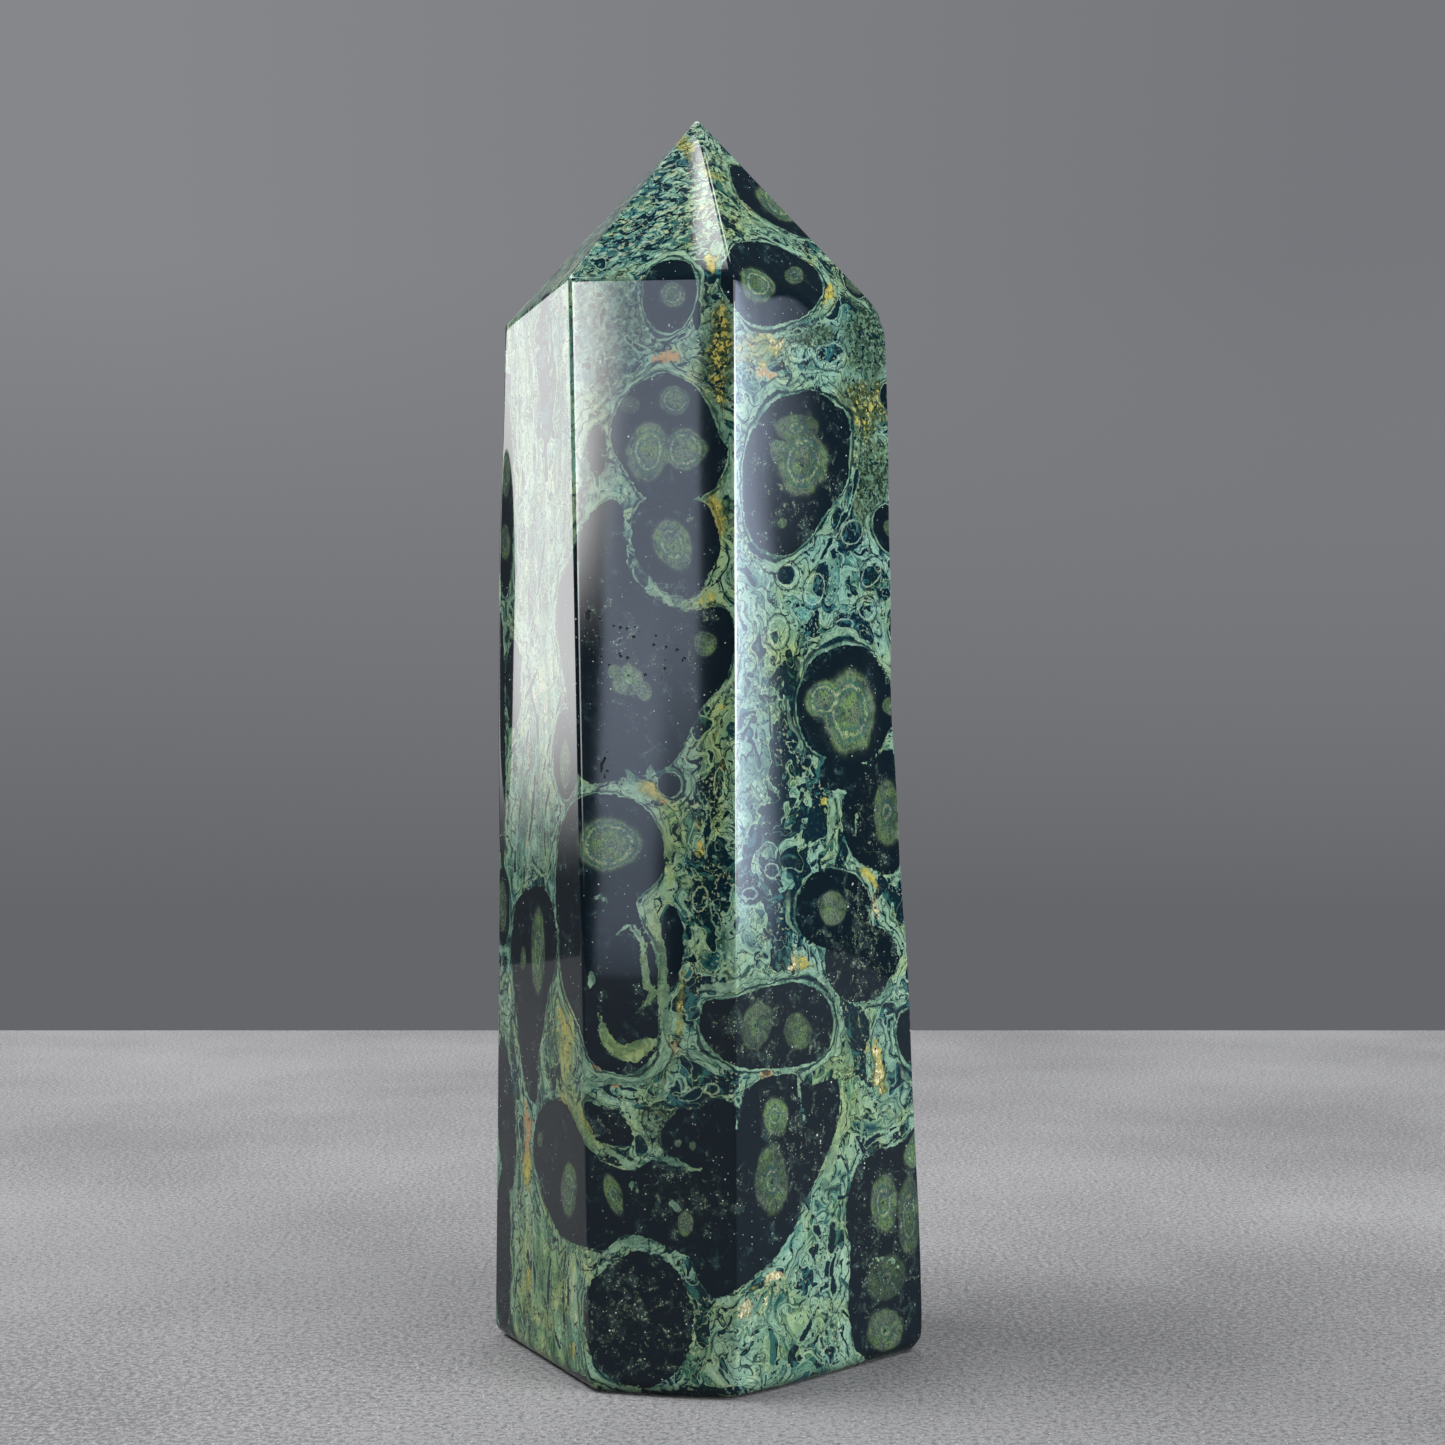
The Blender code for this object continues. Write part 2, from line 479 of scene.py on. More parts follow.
# Narrow black veins in the green, as (width, pixels)
VEINS = (
    (3, ((596, 285), (606, 300), (600, 320), (608, 345))),
    (3, ((622, 330), (635, 345), (650, 350), (660, 340))),
    (4, ((668, 1090), (684, 1098), (700, 1092))),
    (4, ((672, 905), (676, 880), (670, 850), (655, 822))),
    (2.5, ((755, 338), (800, 331), (830, 318), (838, 300), (832, 278))),
    (4, ((820, 560), (835, 535), (850, 505), (858, 470))),
    (4, ((808, 1220), (818, 1232), (822, 1247))),
    (4, ((866, 1145), (880, 1135), (905, 1120))),
    (3, ((600, 1218), (580, 1262), (592, 1290))),
    (3, ((700, 1180), (712, 1215), (705, 1262), (712, 1300))),
    (4, ((712, 905), (722, 945), (716, 985))),
    (3, ((704, 860), (708, 820), (700, 790))),
    (3, ((525, 700), (545, 650), (555, 620))),
    (3, ((540, 790), (550, 740), (562, 690))),
    (4, ((515, 870), (522, 790), (530, 720))),
    (4, ((546, 880), (545, 820), (552, 780))),
    (3, ((528, 860), (533, 800), (538, 730), (530, 690))),
    (3, ((537, 875), (540, 830), (541, 790))),
    (3, ((508, 790), (513, 750), (524, 735))),
    (3, ((530, 640), (538, 590), (545, 540))),
    (3, ((555, 880), (556, 850), (562, 815))),
    (4, ((521, 900), (524, 870), (520, 840))),
    (2, ((530, 1240), (535, 1290), (522, 1345))),
    (2, ((552, 1250), (548, 1300), (560, 1350))),
    (2, ((512, 1190), (518, 1250), (514, 1310))),
    (8, ((836, 1249), (832, 1272), (835, 1297))),
    (8, ((823, 1298), (812, 1320), (800, 1341))),
    (5, ((838, 1250), (830, 1275), (834, 1296))),
)

# Tints in the green: (strength, x, y, half width, half height, tilt)
TINTS = {
    "ochre": (
        (1.0, 716, 400, 12, 95, 4), (0.5, 712, 258, 7, 16, 0), (0.7, 680, 140, 9, 10, 0),
        (0.9, 808, 266, 9, 9, 0), (0.9, 830, 297, 6, 14, 0), (0.8, 862, 408, 24, 34, 0),
        (0.45, 712, 600, 24, 12, -20), (0.8, 716, 518, 14, 28, 0), (0.4, 720, 740, 12, 50, 0),
        (0.6, 650, 580, 13, 14, 40), (0.9, 650, 792, 16, 10, 35), (0.8, 868, 875, 6, 17, -40),
        (0.8, 824, 801, 4, 5, 0), (0.5, 565, 1020, 10, 90, 0), (0.9, 577, 1118, 9, 36, -28),
        (0.7, 640, 1050, 18, 12, -20), (0.7, 528, 1280, 4, 18, 0), (0.6, 563, 1250, 4, 12, 0),
        (0.5, 550, 1318, 5, 14, 0), (0.5, 570, 1355, 8, 20, 0), (0.8, 527, 1165, 6, 24, 0),
        (0.7, 680, 1010, 6, 48, 0), (0.8, 910, 1287, 6, 9, 0), (0.7, 760, 350, 30, 22, 0),
        (0.4, 755, 1300, 22, 26, 0), (0.5, 800, 965, 14, 11, 0), (0.7, 880, 1075, 9, 42, -14),
        (0.4, 700, 840, 10, 40, 0),
    ),
    "rust": (
        (0.9, 665, 357, 16, 7, 0), (0.8, 750, 205, 7, 8, 0), (0.8, 606, 415, 6, 14, 0),
        (1.0, 766, 1074, 7, 5, 0), (0.8, 658, 797, 14, 5, 45), (1.0, 597, 1068, 8, 7, 0),
        (1.0, 614, 1085, 7, 4, 0), (1.0, 527, 1130, 5, 26, 0), (0.9, 675, 1050, 6, 11, 0),
        (1.0, 588, 1199, 2, 2, 0), (0.6, 691, 176, 5, 8, 0), (0.6, 860, 390, 14, 10, 0),
        (0.7, 762, 372, 22, 7, 10), (0.6, 528, 835, 7, 14, 0), (0.6, 640, 788, 14, 6, 10),
    ),
    "cream": (
        (0.5, 770, 350, 32, 20, 0), (0.4, 790, 355, 12, 12, 0), (0.6, 850, 1045, 5, 12, -20),
        (0.6, 880, 1078, 6, 42, -14), (1.0, 746, 1308, 11, 16, 20), (1.0, 776, 1284, 14, 14, 0),
        (0.8, 762, 1298, 10, 8, -30), (0.5, 636, 788, 16, 8, 0), (0.6, 680, 1010, 4, 46, 0),
        (0.6, 645, 575, 8, 12, 30), (0.5, 728, 283, 5, 38, 0), (0.6, 792, 965, 6, 8, 0),
        (0.5, 750, 203, 10, 10, 0), (0.6, 870, 905, 10, 24, -30), (0.5, 540, 720, 18, 60, 10),
    ),
    "pale": (
        (0.2, 890, 1065, 24, 82, 0), (0.9, 620, 490, 20, 26, 40), (0.9, 655, 893, 18, 22, 0),
        (0.6, 775, 1290, 50, 75, 35), (0.8, 540, 760, 26, 120, 0), (0.8, 645, 790, 28, 10, 15),
        (0.9, 808, 600, 14, 22, 20), (0.8, 755, 330, 30, 26, 0), (0.8, 740, 940, 22, 40, 0),
        (0.8, 660, 345, 40, 16, 0), (0.4, 700, 1335, 22, 50, 0), (0.7, 530, 1290, 24, 80, 0),
        (0.8, 840, 1050, 12, 55, -10), (0.6, 735, 640, 14, 60, 0), (0.4, 615, 310, 40, 50, 0),
        (0.7, 812, 570, 30, 20, -40), (0.6, 850, 600, 36, 40, 0), (0.7, 624, 1088, 44, 10, 0),
        (0.8, 735, 990, 48, 10, -8),
    ),
    "ink_and_foot_shade": (
        (0.9, 592, 256, 7, 17, -45), (0.45, 712, 870, 20, 100, 0), (0.45, 790, 850, 34, 90, 0),
        (0.9, 851, 537, 9, 13, 0), (0.9, 786, 576, 7, 7, 0), (0.9, 822, 578, 5, 14, 10),
        (0.9, 873, 578, 10, 10, 0), (0.9, 873, 626, 10, 11, 0), (0.9, 815, 622, 5, 12, 0),
        (0.9, 782, 672, 5, 20, 45), (0.9, 783, 740, 10, 24, 0), (0.9, 776, 776, 6, 12, 0),
        (0.9, 776, 815, 11, 24, 10), (0.9, 820, 818, 10, 22, 10), (0.9, 803, 848, 6, 18, 10),
        (0.9, 752, 888, 8, 14, 0), (0.9, 778, 942, 9, 16, 0), (0.9, 717, 786, 8, 18, 0),
        (0.9, 706, 857, 9, 12, 0), (0.9, 724, 880, 9, 8, 0), (0.9, 672, 930, 7, 28, -5),
        (0.9, 706, 1076, 6, 24, -60), (0.9, 692, 1112, 9, 14, -20), (0.9, 683, 1137, 10, 10, 0),
        (0.9, 860, 1035, 10, 28, 0), (0.9, 857, 1140, 10, 14, 0), (0.9, 727, 1282, 8, 7, 0),
        (0.9, 590, 1289, 13, 5, 0), (0.9, 544, 1335, 5, 14, 0), (0.9, 703, 1325, 6, 30, 0),
        (0.9, 832, 1272, 8, 32, 0), (0.9, 815, 1335, 7, 26, 40), (0.9, 795, 1357, 14, 6, 0),
        # These two patches along the foot's lower edge are painted shade there, not ink in the stone
        (0.9, 700, 1395, 90, 8, 0), (0.9, 565, 1375, 30, 6, 25),
    ),
    "tilted": (
        (1.0, 645, 205, 90, 75, -35), (0.8, 740, 160, 30, 40, 0), (0.5, 600, 300, 40, 50, 0),
    ),
    "teal": (
        (1.0, 660, 200, 90, 80, 0), (0.9, 600, 330, 40, 60, 0), (0.8, 850, 580, 60, 90, 0),
        (0.9, 830, 345, 50, 40, 0), (0.2, 890, 1040, 26, 60, 0), (0.4, 780, 980, 90, 30, 0),
        (0.7, 780, 900, 40, 60, 0), (0.6, 540, 940, 50, 60, 0), (0.3, 740, 720, 20, 140, 0),
        (0.3, 770, 1300, 60, 70, 0), (0.8, 862, 370, 26, 70, 0),
    ),
    "olive": (
        (0.9, 718, 520, 16, 60, 0), (0.8, 715, 760, 18, 90, 0), (0.7, 700, 390, 18, 30, 30),
        (0.8, 668, 840, 14, 50, 0), (0.8, 540, 1300, 34, 90, 0), (0.9, 625, 1045, 40, 22, 20),
        (1.0, 578, 1115, 14, 46, -28), (0.7, 735, 200, 40, 40, 0), (0.8, 565, 1020, 14, 90, 0),
        (0.6, 655, 960, 14, 80, 0), (0.7, 700, 600, 40, 14, -20), (0.6, 780, 660, 26, 40, 0),
        (0.2, 765, 1320, 60, 40, 0), (0.7, 835, 1100, 22, 60, 0), (0.7, 575, 1190, 16, 60, 0),
        (0.3, 855, 430, 20, 60, 0),
    ),
    "speckle": (
        (1.0, 716, 385, 18, 80, 4), (1.0, 866, 340, 26, 42, 0), (0.9, 862, 408, 26, 36, 0),
        (0.9, 872, 480, 20, 44, 0), (0.8, 620, 320, 34, 50, 0), (0.7, 670, 1130, 34, 24, 0),
        (0.8, 812, 335, 30, 12, 0), (0.8, 640, 1030, 14, 40, 0), (0.7, 750, 310, 10, 40, 0),
        (0.6, 610, 370, 22, 60, 0),
    ),
    "mottle": (
        (1.0, 655, 215, 75, 62, -35), (0.8, 845, 600, 48, 50, 0), (0.9, 780, 760, 34, 110, 0),
        (0.8, 775, 900, 30, 70, 0), (0.8, 855, 545, 32, 50, 20), (0.9, 700, 920, 30, 80, 0),
        (0.8, 710, 1110, 34, 50, 0), (0.6, 720, 800, 16, 100, 0), (0.7, 830, 830, 30, 30, 0),
        (0.7, 870, 300, 20, 40, 0), (0.6, 600, 1240, 22, 20, 0), (0.7, 690, 1330, 16, 60, 0),
        (0.7, 612, 335, 30, 60, 0),
    ),
    "glint": (
        (1.0, 638, 1320, 50, 58, 0), (0.9, 765, 1030, 60, 38, 0), (0.8, 860, 960, 40, 42, 0),
        (0.6, 660, 640, 70, 60, 0), (0.8, 690, 1195, 60, 30, 0), (0.7, 885, 1250, 36, 100, 0),
        (0.7, 800, 1140, 40, 60, 0), (0.6, 797, 475, 50, 80, 0), (0.8, 875, 820, 24, 50, 0),
        (0.9, 875, 910, 26, 50, 0), (0.5, 612, 1126, 22, 22, 30),
    ),
}

# Small pits in the polish: (x, y, half width, half height, tilt)
PITS = ((640, 650, 46, 24, 0), (597, 634, 8, 14, 0), (606, 762, 8, 14, 0))

# Painted highlights along the stone's edges, and open slots, as (width, pixels)
PAINTED_EDGE_HIGHLIGHTS = (
    (2.0, ((734.5, 300), (735, 400), (735.5, 560), (736, 720), (736, 900))),
    (1.6, ((583, 590), (583.5, 680), (585, 790))),
    (1.0, ((730.3, 262), (725.2, 240), (717.1, 205), (708.5, 168), (704.3, 150))),
)
SLOTS = (
    (5.0, ((590, 610), (587, 616), (590, 623))),
    (3.0, ((594, 631), (597, 636), (600, 642))),
    (3.0, ((608, 752), (602, 764), (602, 771), (606, 780))),
)

# Seeded orbs on the hidden faces: half of them large, the others a share of the least large size. Each
# keeps off the foot, off the others' middles and, in its own radii, off the faces that are shown.
HIDDEN_ORBS = 46
ORB_TRIES = 30 * HIDDEN_ORBS
ORB_SEED = 12
ORB_SIZES = (2.6 * MM, 7.5 * MM)
SMALL_ORB_SHARES = (0.7, 1.4)
ORB_STRETCHES = (0.75, 1.45)
ORB_LOWEST = 2.0 * MM
ORB_APART = 0.9
ORB_CLEAR = 1.15
CLEAR_TEST_STEP = 37
ORB_RIM = 0.9

# How far the marks' edges wander, as (seed, feature size, distance)
WANDERS = ((21, 3.2 * MM, 0.22 * MM), (31, 1.1 * MM, 0.09 * MM))

# How the hand-ground faces depart from flat: (x, y, reach across and up in pixels, distance out), and
# faint waves all over as (seed, feature size, height)
SWELLS = (
    (500, 550, 30, 120, 0.42 * MM),
    (499, 720, 30, 130, 0.30 * MM),
    (891, 540, 40, 90, -0.30 * MM),
    (893, 700, 40, 100, -0.80 * MM),
    (897, 860, 40, 90, -0.45 * MM),
    (916, 1240, 40, 110, 0.22 * MM),
    (737, 1402, 50, 34, -0.90 * MM),
)
WAVES = ((41, 24.0 * MM, 0.030 * MM), (44, 9.0 * MM, 0.006 * MM))

# Places that were ground softer: (x, y, reach in pixels, share of the sharpness that is left)
SOFT_PLACES = (
    (884, 318, 26, 0.08),
    (822, 300, 36, 0.15),
    (768, 286, 36, 0.25),
    (922, 1350, 32, 0.05),
    (737, 1404, 50, 0.08),
)

# Chips: (x, y, radius, depth), each a ball's hollow
CHIPS = (
    (498, 700, 1.5 * MM, 0.22 * MM),
    (857, 284, 0.7 * MM, 0.25 * MM),
    (891, 649, 0.8 * MM, 0.25 * MM),
    (580, 1396, 0.8 * MM, 0.22 * MM),
    (697, 121, 0.5 * MM, 0.16 * MM),
)

# How high above the table the stone's ground foot is darkened with painted shade
FOOT_SHADE = 2.0 * MM

# Settling the mesh onto the ground surface: the rounds, the step that its slope is taken over, and the
# least square of a slope
SETTLE_ROUNDS = 5
SETTLE_STEP = 0.02 * MM
LEAST_SLOPE = 0.05


# The stone's mesh

def spread(length, coarse, fine, near=FINE_REACH, far=FINE_REACH):
    """Shares along a length: fine steps within reach of its ends, and coarse steps between."""
    first = np.linspace(0.0, near, round(near / fine) + 1)
    last = length - np.linspace(far, 0.0, round(far / fine) + 1)
    middle = np.linspace(first[-1], last[0], round((last[0] - first[-1]) / coarse) + 1)
    return np.concatenate([first[:-1], middle, last[1:]]) / length


def corner_heights(face_index):
    """The foot corner and the shoulder corner at the start of a side."""
    before = face_index - 1
    foot = meet(SIDES[before], SIDES[face_index], FOOT)
    upper = meet(SIDES[before], SIDES[face_index], POINTS[face_index])
    other = meet(SIDES[before], SIDES[face_index], POINTS[before])
    return foot, (upper + other) / 2.0


def base_grid():
    """Rows of points from the foot to the tip, and the face of each column."""
    corners = [corner_heights(index) for index in range(len(SIDES))]
    columns, faces = [], []
    for index in range(len(SIDES)):
        (foot_a, top_a), (foot_b, top_b) = corners[index], corners[(index + 1) % len(SIDES)]
        coarse, fine = (SHOWN_STEP, FINE_STEP) if index in SHOWN else (HIDDEN_STEP, ROUND_STEP)
        for share in spread(np.linalg.norm(foot_b - foot_a), coarse, fine)[:-1]:
            columns.append((foot_a + (foot_b - foot_a) * share, top_a + (top_b - top_a) * share))
            faces.append(index)
    feet = np.array([foot for foot, top in columns])
    tops = np.array([top for foot, top in columns])
    body = spread(tops[:, 2].mean(), ROW_STEP, ROUND_STEP, near=FOOT_BLEND)
    point = spread(np.linalg.norm(TIP - tops.mean(axis=0)), ROW_STEP, ROUND_STEP)
    rows = [feet + (tops - feet) * share for share in body]
    rows += [tops + (TIP - tops) * share for share in point[1:-1]]
    return np.array(rows), np.array(faces)


class Ground:
    """How far outside the ground stone a point lies: below zero inside it."""

    def __init__(self):
        faces = SIDES + POINTS
        self.normals = np.array([face.normal for face in faces])
        self.distances = np.array([face.distance for face in faces])
        self.waves = [(Noise(seed, size), height) for seed, size, height in WAVES]
        self.soft = [(on_stone(x, y), reach * PIXEL, left) for x, y, reach, left in SOFT_PLACES]
        self.swells = []
        for x, y, wide, tall, out in SWELLS:
            centre = on_stone(x, y)
            self.swells.append((centre, np.array([wide, wide, tall]) * PIXEL, out))
        self.chips = []
        for x, y, radius, depth in CHIPS:
            centre = on_stone(x, y)
            if centre[2] < TIP[2] - MM:
                outward = centre * (1.0, 1.0, 0.0)
                outward = outward / np.linalg.norm(outward)
            else:
                outward = np.array([0.0, 0.0, 1.0])
            self.chips.append((centre + outward * (radius - depth), radius))

    def __call__(self, points):
        sharpness = np.full(len(points), ARRIS_SHARPNESS)
        for centre, reach, left in self.soft:
            away = np.linalg.norm(points - centre, axis=1) / reach
            sharpness *= 1.0 - (1.0 - left) * np.exp(-away ** 2)
        outside = points @ self.normals.T - self.distances
        most = outside.max(axis=1)
        beyond = np.exp((outside - most[:, None]) * sharpness[:, None]).sum(axis=1)
        height = most + np.log(beyond) / sharpness
        for wave, size in self.waves:
            height -= wave(points) * size
        for centre, reach, out in self.swells:
            height -= out * np.exp(-(((points - centre) / reach) ** 2).sum(axis=1))
        below = -points[:, 2] - FOOT.distance
        apart = np.maximum(FOOT_BLEND - np.abs(height - below), 0.0)
        height = np.maximum(height, below) + apart ** 2 / (4.0 * FOOT_BLEND)
        for centre, radius in self.chips:
            height = np.maximum(height, radius - np.linalg.norm(points - centre, axis=1))
        return height

    def settle(self, points):
        """The points moved onto the ground surface."""
        for _ in range(SETTLE_ROUNDS):
            height = self(points)
            slope = [(self(points + step) - height) / SETTLE_STEP for step in np.eye(3) * SETTLE_STEP]
            slope = np.stack(slope, axis=1)
            points = points - slope * (height / np.maximum((slope ** 2).sum(axis=1), LEAST_SLOPE))[:, None]
        return points


def stone_mesh():
    """The stone's mesh with its map, its points, and which of them are on the shown faces."""
    grid, column_faces = base_grid()
    rows, columns = grid.shape[:2]
    centre = np.array([grid[0, :, 0].mean(), grid[0, :, 1].mean(), 0.0])
    rings = [centre + (grid[0] - centre) * share for share in FOOT_RING_SHARES]
    points = np.concatenate([grid.reshape(-1, 3), np.array(rings).reshape(-1, 3), [TIP, centre]])
    ground = Ground()
    points[:-1] = ground.settle(points[:-1])
    wall, foot = rows * columns, len(rings) * columns
    tip, middle = wall + foot, wall + foot + 1

    faces = []
    for row in range(rows - 1):
        for column in range(columns):
            after = (column + 1) % columns
            low, high = row * columns, (row + 1) * columns
            faces.append((low + column, low + after, high + after, high + column))
    top = (rows - 1) * columns
    faces += [(top + column, top + (column + 1) % columns, tip) for column in range(columns)]
    levels = [0] + [wall + ring * columns for ring in range(len(rings))]
    for outer, inner in zip(levels, levels[1:]):
        for column in range(columns):
            after = (column + 1) % columns
            faces.append((outer + after, outer + column, inner + column, inner + after))
    last = levels[-1]
    faces += [(last + (column + 1) % columns, last + column, middle) for column in range(columns)]

    mesh = bpy.data.meshes.new("stone")
    mesh.from_pydata(points.tolist(), [], faces)
    mesh.shade_smooth()

    # The wall fills most of the map, and the foot has a strip under it
    around = np.linalg.norm(np.diff(grid[0], axis=0, append=grid[0, :1]), axis=1)
    u = np.concatenate([[0.0], np.cumsum(around)]) / around.sum()
    up = np.linalg.norm(np.diff(grid, axis=0), axis=2).mean(axis=1)
    up = np.concatenate([[0.0], np.cumsum(up), [up.sum() + up[-1]]])
    v = FOOT_SHARE + (1.0 - FOOT_SHARE) * up / up[-1]
    flat = points[:, :2] - centre[:2]
    flat = 0.5 + flat / (2.0 * np.abs(flat).max())
    layout = []
    for face in faces:
        if face[-1] == middle or max(face) >= wall and tip not in face:
            layout += [(FOOT_SHARE * flat[corner, 0], FOOT_SHARE * flat[corner, 1]) for corner in face]
            continue
        first = face[0] % columns
        for corner in face:
            if corner == tip:
                layout.append(((u[first] + u[first + 1]) / 2.0, v[-1]))
                continue
            column = corner % columns
            wrapped = len(around) if column == 0 and first == columns - 1 else column
            layout.append((u[wrapped], v[corner // columns]))
    layout = MAP_MARGIN + (1.0 - 2.0 * MAP_MARGIN) * np.array(layout)
    mesh.uv_layers.new(name="OFBake").data.foreach_set("uv", layout.ravel())

    column_of = np.concatenate([np.tile(column_faces, rows + len(rings)), [FRONT_LEFT, BACK]])
    shown = np.isin(column_of, SHOWN)
    shown[wall:wall + foot] = False
    return mesh, points, shown


# Fields that the material reads at each point of the mesh: distances are in millimetres, and how far the
# marks reach, blend into each other and fade is named here

BODY_REACH = 8.0 * MM
BODY_BLEND = 0.25 * MM
FLOW_BLEND = 3.0 * MM
PALE_BLEND = 0.15 * MM
RIM_REACH = 0.5 * MM
SKINLESS_MARGIN = 0.3
STROKE_REACH = 4.0 * MM
STROKE_BLEND = 0.2 * MM
NO_EYE = 4.0
NO_WEIGHT = 1e-6

# How the eyes of the seeded orbs vary, as (middle, reach, rate): how many times smaller than the orb they
# are, their tone, and their ring
ORB_EYES = ((2.0, 0.7, 2.4), (0.75, 0.2, 1.7), (0.5, 0.2, 3.1))

# The noise that tints the hidden faces, as (first seed, feature size), and how much of it there is
DRIFTS = ((61, 9.0 * MM), (71, 3.0 * MM))
DRIFT_GAIN = 1.4
DRIFT_LEVEL = 0.45
HIDDEN_TINT = 0.62

# The turns between which the bands run upright, in degrees, and how soft the two limits are
UPRIGHT_FROM = -122.0
UPRIGHT_TO = -24.0
UPRIGHT_SOFT = (9.0, 16.0)


def scattered_orbs(points, shown):
    """Seeded orbs on the hidden faces, each with its size."""
    rng = np.random.default_rng(ORB_SEED)
    hidden = points[~shown & (points[:, 2] > ORB_LOWEST)]
    orbs = []
    fronts = points[shown][::CLEAR_TEST_STEP]
    for _ in range(ORB_TRIES):
        centre = hidden[rng.integers(len(hidden))]
        if len(orbs) < HIDDEN_ORBS // 2:
            size = rng.uniform(*ORB_SIZES)
        else:
            size = rng.uniform(*SMALL_ORB_SHARES) * ORB_SIZES[0]
        gaps = [np.linalg.norm(centre - other) - ORB_APART * (size + reach) for other, reach, _ in orbs]
        if min(gaps, default=1.0) < 0.0:
            continue
        turn = rng.uniform(0.0, math.pi)
        stretch = rng.uniform(*ORB_STRETCHES)
        away = centre * (1.0, 1.0, 0.0)
        away /= np.linalg.norm(away)
        side = np.array([-away[1], away[0], 0.0])
        up = np.array([0.0, 0.0, 1.0])
        wide = (side * math.cos(turn) + up * math.sin(turn)) * size * stretch
        tall = (up * math.cos(turn) - side * math.sin(turn)) * size / stretch
        orb = Lump(centre, np.linalg.inv(np.stack([wide, tall, away * size], axis=1)))
        if radius_in(orb, fronts).min() < ORB_CLEAR:
            continue
        orbs.append((centre, size, orb))
        if len(orbs) == HIDDEN_ORBS:
            break
    return orbs


def soft_patch(patches, points, soft=0.5):
    """How much of a tint each point takes: 1 well inside its patches and 0 outside."""
    total = np.zeros(len(points))
    for strength, x, y, wide, tall, tilt in patches:
        radius = radius_in(lump(x, y, wide, tall, tilt), points)
        total = np.maximum(total, strength * np.clip((1.0 + soft - radius) / (2.0 * soft), 0.0, 1.0))
    return total


def strokes_distance(strokes, points):
    """The blended distance of each point from a set of drawn lines."""
    least = np.full(len(points), STROKE_REACH)
    for width, pixels in strokes:
        least = blend_least(least, stroke_distance(width, pixels, points), STROKE_BLEND)
    return least


def body_fields(orbs, wandered, shown):
    """The black bodies, the flow of the bands round them, their pale rims, and the drawn lines."""
    count = len(wandered)
    shapes = [(rim, outline_distance(pixels, wandered, shown)) for rim, pixels in OUTLINES]
    for rim, x, y, wide, tall, tilt in EGGS:
        shapes.append((rim, lump_distance(lump(x, y, wide, tall, tilt), wandered)))
    shapes += [(ORB_RIM, lump_distance(orb, wandered)) for _, _, orb in orbs]
    body = np.full(count, BODY_REACH)
    flow = np.full(count, BODY_REACH)
    rim_sum, rim_weight = np.zeros(count), np.full(count, NO_WEIGHT)
    for rim, distance in shapes:
        body = blend_least(body, distance, BODY_BLEND)
        flow = blend_least(flow, np.minimum(distance, FAR), FLOW_BLEND)
        near = np.exp(-np.maximum(distance, 0.0) / RIM_REACH)
        rim_sum += near * rim
        rim_weight += near
    rim = rim_sum / rim_weight

    pale = strokes_distance(PALE_STROKES, wandered)
    skinless = strokes_distance(GREEN_STROKES, wandered)
    rim = rim * np.clip(skinless / RIM_REACH - SKINLESS_MARGIN, 0.0, 1.0)
    pale = np.minimum(pale, skinless)
    vein = strokes_distance(VEINS, wandered)
    body = -blend_least(-body, pale, PALE_BLEND)
    return {"body": body / MM, "flow": flow / MM, "rim": rim, "vein": vein / MM, "seam": pale / MM}


def eye_fields(orbs, wandered):
    """How far out each point is in the nearest eye, 1 at its edge, which way, and its ring and tone."""
    count = len(wandered)
    eye, ring, tone = np.full(count, NO_EYE), np.full(count, 0.5), np.full(count, 0.5)
    across_up = np.zeros((count, 2))
    eyes = [(t, r, lump(x, y, wide, tall, tilt)) for t, r, x, y, wide, tall, tilt in EYES]
    for index, (_, _, orb) in enumerate(orbs):
        varied = [middle + reach * math.sin(index * rate) for middle, reach, rate in ORB_EYES]
        smaller, strength, pale_ring = varied
        eyes.append((strength, pale_ring, Lump(orb.centre, orb.inverse * smaller)))
    for strength, pale_ring, shape in eyes:
        local = (wandered - shape.centre) @ shape.inverse.T
        radius = np.linalg.norm(local, axis=1)
        nearer = radius < eye
        across_up[nearer] = local[nearer, :2]
        ring[nearer] = pale_ring
        tone[nearer] = strength
        eye = np.minimum(eye, radius)
    across, up = across_up.T
    return {"eye": eye, "eye_across": across, "eye_up": up, "ring": ring, "tone": tone}


def tint_fields(points, wandered, shown):
    """The tints, placed one by one on the shown faces and by seeded noise on the others."""
    fields = {}
    unseen = np.where(shown, 0.0, 1.0)
    for index, (name, patches) in enumerate(TINTS.items()):
        broad, fine = (Noise(seed + index, size)(points) for seed, size in DRIFTS)
        drift = broad + 0.5 * fine
        hidden = unseen * np.clip(drift * DRIFT_GAIN - DRIFT_LEVEL, 0.0, HIDDEN_TINT)
        fields[name] = np.maximum(soft_patch(patches, wandered), hidden)
    return fields


